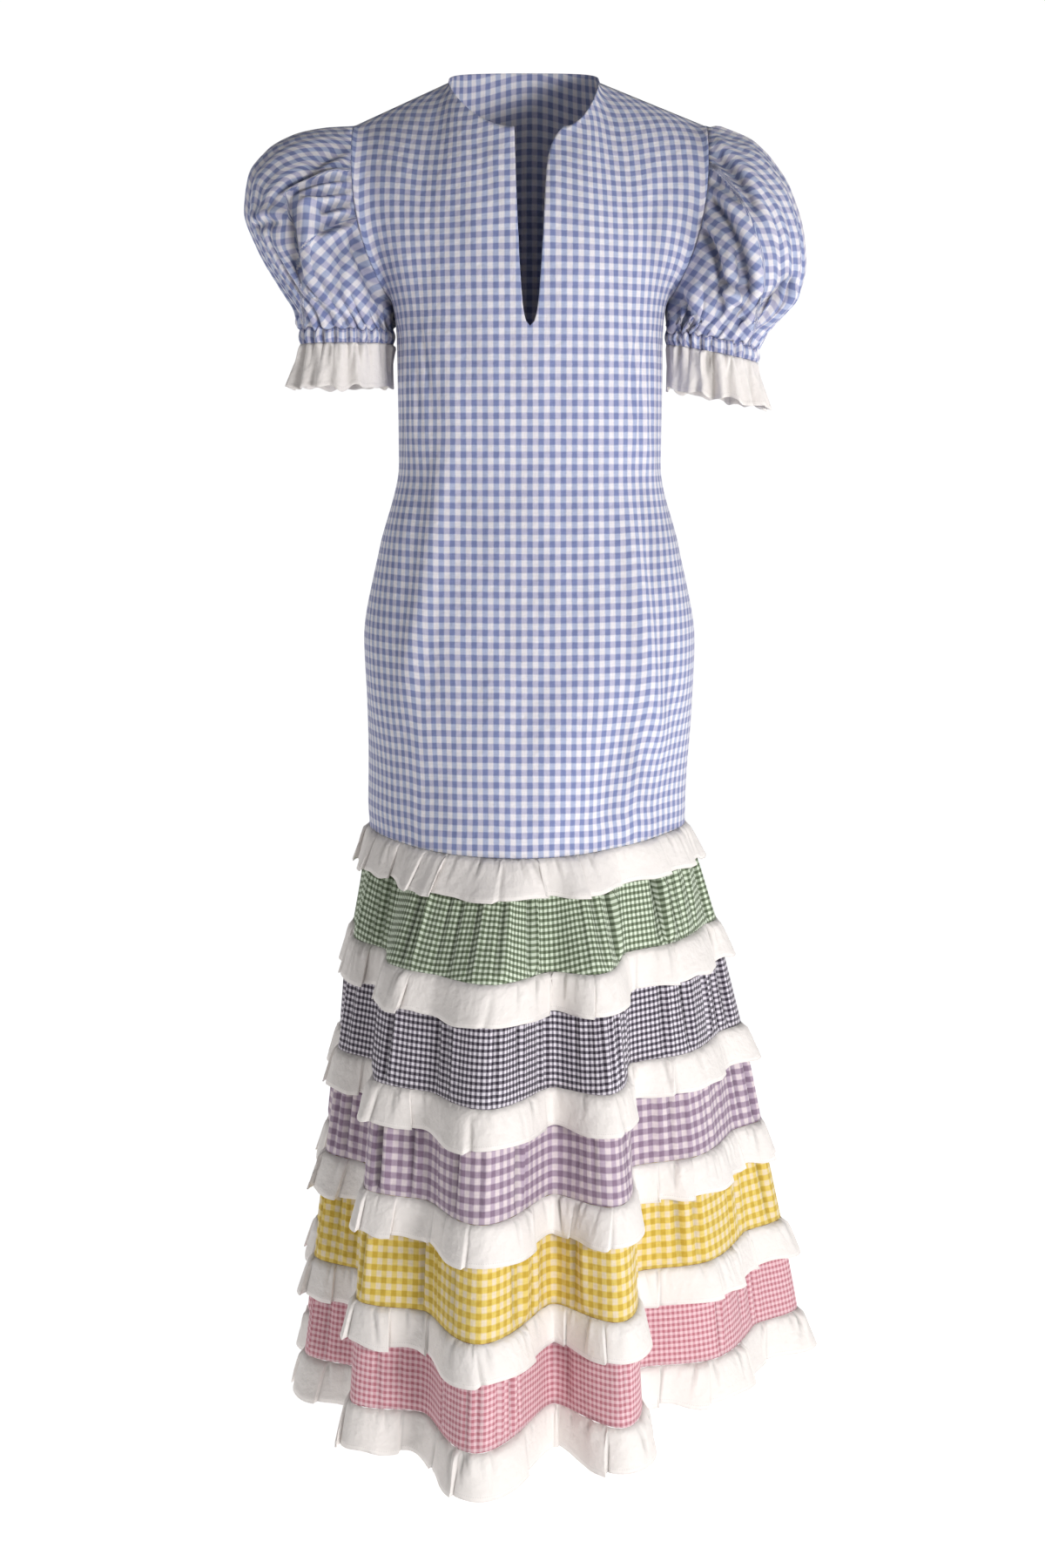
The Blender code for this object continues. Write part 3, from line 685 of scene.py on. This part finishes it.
def relaxed(grid):
    """A quarter panel with its inner points drawn towards the mean of their neighbours, most above the armpit
    row, so that the corner between neck and shoulder and the bend at the armpit row don't show as lines."""
    grid = grid.copy()
    row = np.arange(len(grid)) - PANEL_LOWER_ROWS
    weight = np.where(row < 0, np.exp(-(row / RELAX_ROWS) ** 2), 1.0)[1:-1]
    centre_weight = (weight * (np.abs(row[1:-1]) < 2 * RELAX_ROWS))[:, None]
    for _ in range(RELAX_PASSES):
        inner = grid[1:-1, 1:-1]
        mean = (grid[:-2, 1:-1] + grid[2:, 1:-1] + grid[1:-1, :-2] + grid[1:-1, 2:]) / 4
        centre = grid[1:-1, 0, 1:]
        along = (grid[:-2, 0, 1:] + grid[2:, 0, 1:]) / 2
        grid[1:-1, 0, 1:] = centre + (along - centre) * centre_weight
        grid[1:-1, 1:-1] = inner + (mean - inner) * weight[:, None, None]
    return grid


def panel_relief(way, points):
    """Height of the small folds: the table's folds in front and the same mirrored behind, and shallow uneven
    ripples that fade at the knee seam."""
    x, z = points[..., 0], points[..., 2]
    relief = sum(height * ripple(seed + way, waves, x, z) for seed, height, waves in PANEL_RIPPLES)
    folds = FRONT_FOLDS if way < 0 else mirrored(FRONT_FOLDS[:-4])
    return (relief + BODY_FOLD_DEPTH * fold_heights(folds, x, z)) * ease((z - KNEE_Z) / 0.03)


def body_panel(name, way, material):
    """Front or back panel: two halves that share their centre column wherever the slit is shut. On the flat
    cut, u is the distance from the centre along level lines, and v is the distance up from the waist."""
    halves = {side: quarter_panel(side, way) for side in (-1, 1)}
    normals = {side: grid_normals(grid, False) * -side * way for side, grid in halves.items()}
    joined = np.linalg.norm(halves[-1][:, 0] - halves[1][:, 0], axis=1) < 1e-6
    shared = unit(normals[-1][joined, 0] + normals[1][joined, 0])
    folds = {}
    for side, grid in halves.items():
        normals[side][joined, 0] = shared
        near_top = ease(np.linspace(len(grid) - 1, 0, len(grid)) / 6)[:, None]
        relief = panel_relief(way, grid) * ease(np.abs(grid[..., 1]) / 0.02) * near_top
        # Painted shade in the hollows of the panel's folds.
        folds[side] = painted_crease_shade(relief)
        halves[side] = grid + normals[side] * relief[..., None]
        halves[side][..., 1] += way * SEAM / 2
    rows, columns = halves[1].shape[:2]
    waist = int(np.argmin(np.abs(halves[1][:, 0, 2] - WAIST_Z)))
    i, j = np.meshgrid(np.arange(rows - 1), np.arange(columns - 1), indexing="ij")
    points, faces, uvs = [], [], []
    for side in (-1, 1):
        grid = halves[side]
        normal = grid_normals(grid, False) * -side * way
        level_way = unit(np.cross((0.0, 0.0, 1.0), normal))
        steep_way = np.cross(normal, level_way)
        u = np.zeros((rows, columns))
        steps = np.diff(grid, axis=1) * (level_way[:, 1:] + level_way[:, :-1]) / 2
        u[:, 1:] = np.cumsum(steps.sum(-1), axis=1)
        u += grid[:, :1, 0]
        v = np.zeros((rows, columns))
        steps = np.diff(grid, axis=0) * (steep_way[1:] + steep_way[:-1]) / 2
        v[1:] = np.cumsum(steps.sum(-1), axis=0)
        v -= v[waist:waist + 1]
        aside = np.abs(grid[..., 0])
        drape = ease(aside / DRAPE_AT) - ease((aside - DRAPE_AT) / DRAPE_AT)
        v += CHEST_DRAPE * drape * ease((grid[..., 2] - DRAPE_FROM_Z) / (-NECK_FRONT_DROP - DRAPE_FROM_Z))
        corners = [(i, j), (i, j + 1), (i + 1, j + 1), (i + 1, j)]
        if side * way > 0:
            corners = corners[::-1]
        index = np.arange(rows * columns).reshape(rows, columns)
        if side > 0:
            index = index + rows * columns
            index[joined, 0] -= rows * columns
        faces.append(np.stack([index[c] for c in corners], -1).reshape(-1, 4))
        uvs.append(np.stack([np.stack([place[c] for c in corners], -1) for place in (u, v)], -1))
        points.append(grid.reshape(-1, 3))
    faces = np.concatenate(faces)
    points = np.concatenate(points)
    uv = np.concatenate([part.reshape(-1, 2) for part in uvs])
    painted_shade = np.concatenate([folds[side].ravel() for side in (-1, 1)])
    used, place = np.unique(faces, return_inverse=True)
    piece = cloth_object(f"{name}_cloth", points[used], place.reshape(faces.shape), uv, material, painted_shade[used])
    declare(piece, name)


def fold_columns():
    """Azimuths of the columns of the dress's solids, so that the waves here lie where theirs do."""
    starts = FOLDS[:, 0]
    ends = np.concatenate((starts[1:], starts[:1] + 360))
    share = np.arange(COLUMNS_PER_FOLD) / COLUMNS_PER_FOLD
    return (starts[:, None] + (ends - starts)[:, None] * share).ravel()


def plan_tangents(ring):
    """Unit tangents of a closed level ring."""
    return unit((np.roll(ring, -1, axis=-2) - np.roll(ring, 1, axis=-2)) * (1.0, 1.0, 0.0))


def plan_normals(ring):
    """Unit normals in plan of a closed level ring."""
    tangent = plan_tangents(ring)
    return np.stack((tangent[..., 1], -tangent[..., 0], np.zeros(tangent.shape[:-1])), -1)


def room_outside(azimuth, z):
    """Share of a ruffle's fullness that fits outside the skirt: less in its deep hollows."""
    coarse = fold_columns()
    coarse = np.stack((coarse, coarse + np.diff(np.append(coarse, coarse[0] + 360)) / 2), 1).ravel()
    ring = ring_at(coarse, skirt_radius(coarse, z), z)
    side = np.roll(ring, -1, axis=0) - ring
    back = np.roll(side, 1, axis=0)
    turn = back[:, 0] * side[:, 1] - back[:, 1] * side[:, 0]
    turn /= np.linalg.norm(side, axis=1) * np.linalg.norm(back, axis=1)
    hollow = np.clip(-turn, 0.0, 1.0)
    spread = sum(np.roll(hollow, shift) for shift in (-2, -1, 0, 1, 2))
    return np.interp(azimuth, coarse, 1 / (1 + HOLLOW_SQUEEZE * spread), period=360)


def tier_levels(tier):
    """Heights of a tier's upper and lower seam, or of the last ruffle's seam and free edge."""
    top = KNEE_Z if tier == 0 else BANDS[tier - 1][1]
    bottom = BANDS[tier][1] if tier < len(BANDS) else HEM_Z - RUFFLES[tier][1]
    return top, bottom


def tier_rings(tier, azimuth):
    """Rings of cloth at a tier's upper and lower seam."""
    return [ring_at(azimuth, skirt_radius(azimuth, z), seam_z(azimuth, z)) for z in tier_levels(tier)]


def band(tier, material):
    """Gathered band of the skirt, straight from seam to seam, with the creases of its gathering below the
    seam. Where its ruffle covers it, it stands out no more than there is room for."""
    name = BANDS[tier][0] + "_band"
    azimuth = even_azimuths(tier_levels(tier)[1], BAND_COLUMNS)
    seam, bottom = tier_rings(tier, azimuth)
    top = seam - plan_normals(seam) * (WALL + SEAM) - (0, 0, SEAM)
    share = np.linspace(0, 1, BAND_ROWS)[:, None]
    grid = top + (bottom - top) * share[..., None]
    length = closed_lengths(bottom)
    along = length[:-1][None]
    relief = tuck_heights(40 + tier, BAND_TUCKS, length[-1], along, 0.4 * share)
    relief += round_ripple(60 + tier, BAND_SWELL, along / length[-1]) * np.sin(np.pi * share)
    relief = np.minimum(relief, TUCK_ROOM + 0.01 * ease((share - 0.30) / 0.2))
    relief *= ease((1 - share) / 0.10) * ease(share / 0.2)
    grid = grid + plan_normals(grid) * relief[..., None]
    down = lengths(grid, 0)
    weft = round_ripple(70 + tier, WEFT_WANDER, along / length[-1])
    # Painted shade in the hollows of the gathering's creases.
    piece = grid_object(name + "_cloth", grid, length[None], -down + weft, material, painted_crease_shade(relief))
    declare(piece, name)


def ruffle(tier, material):
    """Ruffle that hangs from a seam over the top of the band below. Round it the cloth rises slowly and drops
    sharply, once to each wave, and each drop is folded under the rise before it, like uneven tucks."""
    waves, depth = RUFFLES[tier]
    coarse = fold_columns()
    coarse = np.append(coarse, coarse[0] + 360)
    random = np.random.default_rng(80 + tier)
    within = np.concatenate([np.linspace(*part, endpoint=False) for part in WAVE_COLUMNS])
    starts = np.arange(waves) + random.uniform(-0.3, 0.3, waves)
    widths = np.diff(np.append(starts, starts[0] + waves))
    turn = ((starts[:, None] + widths[:, None] * within) / waves).ravel()
    step = np.tile(within, waves)
    strength = np.repeat(random.uniform(*WAVE_STRENGTHS, waves), len(within))
    azimuth = np.interp(turn % 1.0, np.linspace(0, 1, len(coarse)), coarse)

    share = np.linspace(0, 1, RUFFLE_ROWS)[:, None]
    lean = np.tile(np.repeat(random.normal(0, WAVE_LEAN, waves), len(within)), 3)
    lean = np.convolve(lean, np.ones(LEAN_COLUMNS) / LEAN_COLUMNS, "same")[len(step):2 * len(step)]
    azimuth = azimuth[None] + lean[None] * share
    top_z, bottom_z = tier_levels(tier)
    seam, bottom = tier_rings(tier, azimuth)
    base = seam + (bottom - seam) * (depth / (top_z - bottom_z) * share)[..., None]
    room = room_outside(azimuth, bottom_z)
    rise = ease(step / WAVE_RISE) * (1 - ease((step - WAVE_DROP_AT) / WAVE_DROP))
    turned = (step - WAVE_TURN_AT) / WAVE_TURN
    over = np.where((turned > 0) & (turned < 1), np.sin(2 * np.pi * turned), 0.0)
    grown = ease(share / 0.10) * (0.50 + 0.50 * share)
    out = SEAM * share + (WALL + SEAM) * ease(share * 5)
    out = out + RUFFLE_FLARE * room * share ** 0.85 + 0.85 * RUFFLE_WAVE * room * grown * rise * strength
    out = out + round_ripple(90 + tier, SEAM_SWELL, turn) * (1 - share) ** 3
    notch = np.exp(-((step - NOTCH_AT) / NOTCH_WIDTH) ** 2) * strength
    out = out - NOTCH_DEPTH * room * notch * ease((share - 0.10) / 0.4)
    around_seam = closed_lengths(seam[0])
    tucks = (WAVE_TUCKS[0] * waves, *WAVE_TUCKS[1:])
    small = tuck_heights(130 + tier, tucks, around_seam[-1], around_seam[:-1][None], share)
    small *= ease(share / 0.08)
    out = out + small * (0.4 + 0.6 * room)
    grid = base + plan_normals(base) * out[..., None]
    grid = grid + plan_tangents(base) * (TURN_UNDER * over * strength * grown)[..., None]
    hem = round_ripple(95 + tier, HEM_WANDER, turn) - 0.0030 * rise * strength
    grid[..., 2] += hem * share - SEAM * (1 - share)
    # Painted shade in the small tucks' hollows and at the notch where the cloth is folded under.
    painted_shade = np.maximum(painted_crease_shade(1.5 * small), 0.8 * notch * grown)
    white_ruffle(f"ruffle_{tier + 1}", grid, -1, material, painted_shade)


def cuff_ring(side, level, dip, radius, above, t):
    """Ring round the arm, from the crown's side (t = 0) by the front, at a height above the cuff's foot."""
    slope = np.radians(dip)
    out = np.array((side * np.cos(slope), 0.0, -np.sin(slope)))
    ring = np.cos(t)[..., None] * out + np.sin(t)[..., None] * np.array((0.0, -1.0, 0.0))
    rise = np.asarray(above)[..., None] * np.array((0.0, 0.0, 1.0))
    return np.array((side * CUFF_X, 0.0, level)) + np.asarray(radius)[..., None] * ring + rise


def pucker(seed, turn):
    """Puckers of the elastic, from -1 to 1: rounded ridges with sharp hollows between, unevenly spaced."""
    wander = round_ripple(seed + 13, PUCKER_WANDER, turn)
    return 2 * np.abs(np.sin(np.pi * PUCKERS * turn + wander)) - 1


def ruched_edge(seed, turn):
    """How far the seam above the cuff wanders up and down with the puckers."""
    return round_ripple(seed + 31, CUFF_WANDER, turn)


def turned_checks(label, side, grid, front, u, v):
    """Flat cut of a sleeve with the parts of the grain table laid their own way, each as it is seen from the
    front."""
    x, z = grid[..., 0], grid[..., 2]
    for lines, turned, (x0, z0) in SLEEVE_GRAIN[label]:
        share = ease((front - 0.02) / 0.10)
        for line in lines:
            share = share * ease(beside_line(x, z, line)[1] / 0.003 + 0.5)
        at = np.unravel_index(np.argmin(np.hypot(x - x0, z - z0) + (front < 0.5)), x.shape)
        cos, sin = math.cos(math.radians(turned)), math.sin(math.radians(turned))
        across, up = (x - x[at]) * cos + (z - z[at]) * sin, (z - z[at]) * cos - (x - x[at]) * sin
        edge = np.zeros((len(x), 1))
        across = np.append(u[at] - side * across, edge, axis=1)
        u = u + (across - u) * np.append(share, edge, axis=1)
        v = v + (v[at] + up - v) * share
    return u, v


def sleeve_grid(side, columns, rows):
    """Seed of a sleeve's random draws, angle of each column round it, from the underarm by the back, the
    crown (0) and the front, the same as a share of the turn, and each row's share of the way down."""
    t = 2 * np.pi * np.arange(columns) / columns - np.pi
    return 200 + side, t, t / (2 * np.pi), np.linspace(0, 1, rows)[:, None]


def sleeve(label, side, level, dip, material):
    """Puff sleeve from the armhole to the cuff, bulging by the crown table, with its table's folds in front,
    the other sleeve's behind, and small gathers at the seam and at the elastic. On the flat cut, u is the
    distance from the crown's line, drawn in a little at both ends, and v is the distance up from the cuff."""
    seed, t, turn, v = sleeve_grid(side, SLEEVE_COLUMNS, SLEEVE_ROWS)
    start = armhole_point(side, np.where(t > 0, -1, 1), np.abs(t)) + np.array((side * SEAM, 0.0, 0.0))
    top = CUFF_DEPTH + SEAM + ruched_edge(seed, turn)
    end = cuff_ring(side, level, dip, CUFF_RADIUS + PUCKER * pucker(seed, turn), top, t)
    crown_share = (1 + np.sign(np.cos(t)) * np.abs(np.cos(t)) ** CROWN_POWER) / 2
    aside = np.sign(t) * np.abs(np.sin(t)) ** ASIDE_POWER
    chord = end[SLEEVE_COLUMNS // 2] - start[SLEEVE_COLUMNS // 2]
    crown_way = np.array((-chord[2] * side, 0.0, chord[0] * side)) / np.linalg.norm(chord)
    front_way = np.array((0.0, -1.0, 0.0))
    crown = CROWN[:, 2 if side > 0 else 1]
    puff = smooth_table(CROWN[:, 0], crown, v)[..., None]
    out = puff * (crown_share[:, None] * crown_way
                  + SLEEVE_SIDE_PUFF / crown.max() * aside[:, None] * front_way)
    grid = start + (end - start) * v[..., None] + out
    normal = grid_normals(grid, True) * side
    x, z = grid[..., 0], grid[..., 2]
    front, back = (np.clip(CROWN_TURN * way * normal[..., 1], 0, 1) for way in (-1, 1))
    folds = SLEEVE_FOLDS[label]
    other_folds = mirrored(SLEEVE_FOLDS["left" if side > 0 else "right"])
    relief = front * fold_heights(stronger(folds), x, z) + back * fold_heights(stronger(other_folds), x, z)
    girth = closed_lengths(grid[int(np.argmax(puff[:, 0, 0]))])
    along = girth[:-1][None]
    pleats = tuck_heights(seed, CROWN_PLEATS, girth[-1], along, v / PLEAT_REACH)
    relief += pleats * (0.25 + 0.75 * crown_share ** 2) * (1 - 0.85 * front)
    relief += round_ripple(seed + 5, SLEEVE_SWELL, turn + 0.05 * v) * crown_share * np.sin(np.pi * v)
    from_seam = lengths(grid, 0)
    to_cuff = from_seam[-1:] - from_seam
    relief += tuck_heights(seed + 2, CUFF_GATHERS, girth[-1], along, to_cuff / GATHER_REACH)
    relief *= ease(v / 0.03) * ease(to_cuff / 0.004)
    flatter = grid * (1.0, CUT_DEPTH, 1.0)
    round_length = lengths(np.concatenate((flatter, flatter[:, :1]), axis=1), 1)
    cut_width = CUT_TAPER * round_length[:, -1:] + (1 - CUT_TAPER) * girth[-1]
    u = (round_length / round_length[:, -1:] - 0.5) * cut_width
    u, v_cut = turned_checks(label, side, grid, front, u, to_cuff)
    grid = grid + normal * relief[..., None]
    # Painted shade: along the tables' folds, in the hollows of the relief, and darkest under the arm.
    painted_shade = np.maximum(front * fold_shade(folds, x, z), back * fold_shade(other_folds, x, z))
    shade = np.maximum(0.7 * painted_crease_shade(relief), 0.9 * ease((UNDERARM - crown_share) / UNDERARM))
    painted_shade = np.maximum(painted_shade, shade)
    name = "sleeve_" + label
    piece = round_object(name + "_cloth", grid, u, v_cut, side, material, painted_shade)
    declare(piece, name)


def cuff_band(label, side, level, dip, material):
    seed, t, turn, v = sleeve_grid(side, CUFF_COLUMNS, CUFF_ROWS)
    bulge = np.sin(np.pi * v)
    puckers = pucker(seed, turn + round_ripple(220 + side, PUCKER_LEAN, turn) * bulge)
    radius = CUFF_RADIUS + PUCKER * (puckers * (1 + 0.4 * bulge) + 0.3 * bulge)
    above = (CUFF_DEPTH + ruched_edge(seed, turn)) * (1 - v)
    grid = cuff_ring(side, level, dip, radius, above, t + 0 * v)
    girth = closed_lengths(grid[CUFF_ROWS // 2])
    name = "cuff_band_" + label
    # Painted shade in the hollows between the elastic's puckers.
    piece = round_object(name + "_cloth", grid, ELASTIC_FULLNESS * girth[None], -lengths(grid, 0), side,
                          material, painted_crease_shade(PUCKER * puckers))
    declare(piece, name)


def cuff_ruffle(label, side, level, dip, material):
    """Ruffle below the cuff. It flares most on the crown's side, and its flutes open from the elastic's
    puckers."""
    seed, t, turn, v = sleeve_grid(side, FRILL_COLUMNS, FRILL_ROWS)
    crown_share = (1 + np.cos(t)) / 2
    wave = (1 - np.cos(SLEEVE_RUFFLE_WAVES * t)) / 2
    room = UNDERARM_FLARE + (1 - UNDERARM_FLARE) * crown_share
    free = room * (SLEEVE_RUFFLE_FLARE + SLEEVE_RUFFLE_WAVE * wave)
    flute = round_ripple(seed + 17, FRILL_FLUTES, turn) * (0.3 + 0.7 * crown_share)
    round_cuff = 2 * np.pi * CUFF_RADIUS
    creases = tuck_heights(seed + 18, FRILL_CREASES, round_cuff, round_cuff * turn, v)
    radius = CUFF_RADIUS + PUCKER * pucker(seed, turn) * (1 - v) ** 2
    radius = radius + free * v ** 0.9 + flute * v ** 0.8 + creases * ease(v / 0.08)
    above = -SEAM - (SLEEVE_RUFFLE_DEPTH - SEAM) * v + round_ripple(seed + 19, FRILL_WANDER, turn) * v
    grid = cuff_ring(side, level, dip, radius, above, t + 0 * v)
    # Painted shade in the creases and in the hollows of the flutes.
    painted_shade = painted_crease_shade(creases + FLUTE_SHADE * flute)
    white_ruffle("cuff_ruffle_" + label, grid, side, material, painted_shade)


def method(operation, reflected=False):
    """A method that adds one node of arithmetic, with the other value first where it is reflected."""

    def apply(self, other):
        return arithmetic(operation, *((other, self) if reflected else (self, other)))

    return apply


class Value:
    """A number in a shader, with arithmetic, so that a formula reads as it is written."""

    def __init__(self, source):
        self.source = source

    __add__, __radd__ = method("ADD"), method("ADD", True)
    __sub__, __rsub__ = method("SUBTRACT"), method("SUBTRACT", True)
    __mul__, __rmul__ = method("MULTIPLY"), method("MULTIPLY", True)
    __truediv__ = method("DIVIDE")

    def calc(self, operation, *others):
        """One node of arithmetic on this value and the others, which are values or plain numbers."""
        return arithmetic(operation, self, *others)

    def clamped(self):
        """This value, kept between 0 and 1."""
        return self.calc("MINIMUM", 1.0).calc("MAXIMUM", 0.0)


def arithmetic(operation, *terms):
    """A Math node on values and plain numbers."""
    tree = next(term.source.id_data for term in terms if isinstance(term, Value))
    return Value(add_node(tree, "ShaderNodeMath", dict(enumerate(terms)), operation=operation).outputs[0])


def add_node(tree, kind, inputs=(), **settings):
    """A node with its settings, and its inputs by name or place as values, sockets or constants."""
    node = tree.nodes.new(kind)
    for key, value in settings.items():
        setattr(node, key, value)
    for key, value in dict(inputs).items():
        source = value.source if isinstance(value, Value) else value
        if isinstance(source, bpy.types.NodeSocket):
            tree.links.new(source, node.inputs[key])
        else:
            node.inputs[key].default_value = source
    return node


def cloth_uv(tree):
    """Place on the flat cut in metres, as two values and the vector."""
    vector = add_node(tree, "ShaderNodeUVMap", uv_map="cloth").outputs["UV"]
    parts = add_node(tree, "ShaderNodeSeparateXYZ", {"Vector": vector})
    return Value(parts.outputs["X"]), Value(parts.outputs["Y"]), vector


def noise(tree, vector, scale, stretch=(1.0, 1.0, 1.0), detail=2.0):
    """Noise round 0, from about -0.5 to 0.5, over the cut."""
    stretched = add_node(tree, "ShaderNodeMapping", {"Vector": vector, "Scale": stretch}).outputs["Vector"]
    made = add_node(tree, "ShaderNodeTexNoise", {"Vector": stretched, "Scale": scale, "Detail": detail})
    return Value(made.outputs["Fac"]) - 0.5


def mixed(tree, share, one, two, blend="MIX"):
    """Colour between two, each a constant or a socket."""
    node = add_node(tree, "ShaderNodeMix", {MIX_SHARE: share, MIX_ONE: one, MIX_TWO: two},
                    data_type="RGBA", blend_type=blend)
    return node.outputs[MIX_RESULT]


def cloth_shader(name, colour_of, weave):
    """Matt woven cotton: its colour by a function of the tree, darkened by painted shade in the cloth's
    hollows, and a bump of threads and faint creases.
    """
    material = bpy.data.materials.new(name)
    material.use_nodes = True
    tree = material.node_tree
    shader = tree.nodes["Principled BSDF"]
    u, v, vector = cloth_uv(tree)
    # Painted shade: the colour is mixed towards black by the attribute of painted shade in the hollows.
    painted_shade = Value(add_node(tree, "ShaderNodeAttribute", attribute_name="painted_shade").outputs["Fac"])
    colour = mixed(tree, painted_shade * FOLD_SHADE, colour_of(tree, u, v, vector), (0.0, 0.0, 0.0, 1.0))
    tree.links.new(colour, shader.inputs["Base Color"])
    shader.inputs["Roughness"].default_value = 0.9
    shader.inputs["Specular IOR Level"].default_value = 0.15
    shader.inputs["Sheen Weight"].default_value = 0.15
    height = noise(tree, vector, 110.0, detail=3.0) * 0.0016 + noise(tree, vector, 1400.0) * weave
    bump = add_node(tree, "ShaderNodeBump", {"Height": height, "Strength": 1.0, "Distance": 1.0})
    tree.links.new(bump.outputs["Normal"], shader.inputs["Normal"])
    return material


def linear(colour):
    """A colour from 0 to 255 as the eye sees it, as linear light with an opacity of 1."""
    share = np.array(colour, float) / 255
    return (*np.where(share < 0.04045, share / 12.92, ((share + 0.055) / 1.055) ** 2.4), 1.0)


def stripe(place, period, softness):
    """1 on a coloured stripe and 0 between, over half of each period, with soft edges."""
    wave = (place / period).calc("FRACT") - 0.5
    share = (wave.calc("ABSOLUTE") * 2.0 - 0.5) / softness + 0.5
    return share.clamped()


def gingham(name, period, *colours):
    """Checks: stripes of coloured warp and weft of half a period each, and four colours where they cross."""
    plain, warp_only, weft_only, both = (linear(colour) for colour in colours)

    def colour_of(tree, u, v, vector):
        warp = stripe(u + noise(tree, vector, 300.0) * CHECK_WANDER, period[0], CHECK_SOFTNESS)
        weft = stripe(v + noise(tree, vector, 260.0) * CHECK_WANDER, period[1], CHECK_SOFTNESS)
        colour = mixed(tree, weft, mixed(tree, warp, plain, warp_only), mixed(tree, warp, weft_only, both))
        threads = (noise(tree, vector, THREAD_SCALE, (1.0, 0.08, 1.0))
                   + noise(tree, vector, THREAD_SCALE, (0.08, 1.0, 1.0)))
        shade = threads * THREAD_SHADE + 1.0
        tone = add_node(tree, "ShaderNodeCombineColor", {"Red": shade, "Green": shade, "Blue": shade})
        return mixed(tree, 1.0, colour, tone.outputs["Color"], "MULTIPLY")

    return cloth_shader(name, colour_of, 0.00012)


def cotton(name, colour):
    """Plain cotton of one colour, with a stitched line near its free edge."""

    def colour_of(tree, u, v, vector):
        base = linear(colour)
        darker = tuple(part * 0.80 for part in base[:3]) + (1.0,)
        height, width, edge, period, darkness = STITCHES
        line = ((width - (v - height).calc("ABSOLUTE")) / edge).clamped() * stripe(u, period, 0.4)
        return mixed(tree, line * darkness, base, darker)

    return cloth_shader(name, colour_of, 0.00010)


def area_light(name, place, target, size, energy):
    """Square soft light aimed at a point."""
    lamp = bpy.data.lights.new(name, "AREA")
    lamp.size = size
    lamp.energy = energy
    holder = bpy.data.objects.new(name, lamp)
    holder.location = place
    way = np.array(target, float) - np.array(place, float)
    tilt, turn = math.atan2(math.hypot(way[0], way[1]), -way[2]), math.atan2(-way[0], way[1])
    holder.rotation_euler = (tilt, 0.0, turn)
    bpy.context.scene.collection.objects.link(holder)


def pale_floor():
    """White floor that glows a little, so that it and the white surroundings meet without a line."""
    mesh = bpy.data.meshes.new("floor")
    corners = [(x * FLOOR_SIZE, y * FLOOR_SIZE, FLOOR_Z) for x, y in ((-1, -1), (1, -1), (1, 1), (-1, 1))]
    mesh.from_pydata(corners, [], [(0, 1, 2, 3)])
    paint = bpy.data.materials.new("floor_paint")
    paint.use_nodes = True
    tree = paint.node_tree
    shader = tree.nodes["Principled BSDF"]
    place = add_node(tree, "ShaderNodeTexCoord").outputs["Object"]
    depth = Value(add_node(tree, "ShaderNodeSeparateXYZ", {"Vector": place}).outputs["Y"])
    behind = ((depth - FLOOR_DIM_Y) / (FLOOR_LIT_Y - FLOOR_DIM_Y)).clamped()
    for socket, *greys in (("Base Color", FLOOR_DIM, FLOOR_PALE), ("Emission Color", FLOOR_DIM_GLOW, 1.0)):
        ends = ((grey, grey, grey, 1.0) for grey in greys)
        tree.links.new(mixed(tree, behind, *ends), shader.inputs[socket])
    shader.inputs["Roughness"].default_value = 1.0
    shader.inputs["Emission Strength"].default_value = FLOOR_GLOW
    mesh.materials.append(paint)
    floor = bpy.data.objects.new("floor", mesh)
    bpy.context.scene.collection.objects.link(floor)


def surroundings():
    """Studio that is white from the floor to a little above the horizon and dimmer overhead."""
    world = bpy.data.worlds.new("studio")
    world.use_nodes = True
    tree = world.node_tree
    way = add_node(tree, "ShaderNodeTexCoord").outputs["Generated"]
    parts = add_node(tree, "ShaderNodeSeparateXYZ", {"Vector": way})
    height, depth = Value(parts.outputs["Z"]), Value(parts.outputs["Y"])
    raised = ((height - DOME_FROM) / (DOME_TO - DOME_FROM)).clamped()
    ahead = ((BEHIND_Y - depth) / (BEHIND_Y - BESIDE_Y)).clamped()
    level = HORIZON_LIGHT + ahead * (FRONT_LIGHT - HORIZON_LIGHT)
    strength = level + raised * (DOME_LIGHT - level)
    background = tree.nodes["Background"]
    background.inputs["Color"].default_value = (1.0, 1.0, 1.0, 1.0)
    tree.links.new(strength.source, background.inputs["Strength"])
    bpy.context.scene.world = world


def stage():
    """Pale floor, white surroundings, soft lights, and the camera."""
    pale_floor()
    surroundings()
    for light in LIGHTS:
        area_light(*light)
    lens = bpy.data.cameras.new("camera")
    lens.sensor_fit = "VERTICAL"
    lens.sensor_height = 36.0
    lens.lens = 50.0
    lens.clip_end = 50.0
    camera = bpy.data.objects.new("camera", lens)
    camera.location = CAMERA_PLACE
    camera.rotation_euler = (math.radians(90 - CAMERA_DOWN), 0.0, 0.0)
    scene = bpy.context.scene
    scene.collection.objects.link(camera)
    scene.camera = camera
    scene.view_settings.view_transform = "Standard"
    scene.view_settings.look = "None"


for old in list(bpy.data.objects):
    bpy.data.objects.remove(old, do_unlink=True)
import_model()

cloths = {name + "_gingham": gingham(name + "_gingham", *row) for name, row in GINGHAMS.items()}
blue = cloths["blue_gingham"]
white = cotton("white_cotton", WHITE)

body_panel("front_body", -1, blue)
body_panel("back_body", 1, blue)
for row in SLEEVES:
    sleeve(*row, blue)
    cuff_band(*row, blue)
    cuff_ruffle(*row, white)
for tier, (colour, _) in enumerate(BANDS):
    band(tier, cloths[colour + "_gingham"])
for tier in range(len(RUFFLES)):
    ruffle(tier, white)
stage()
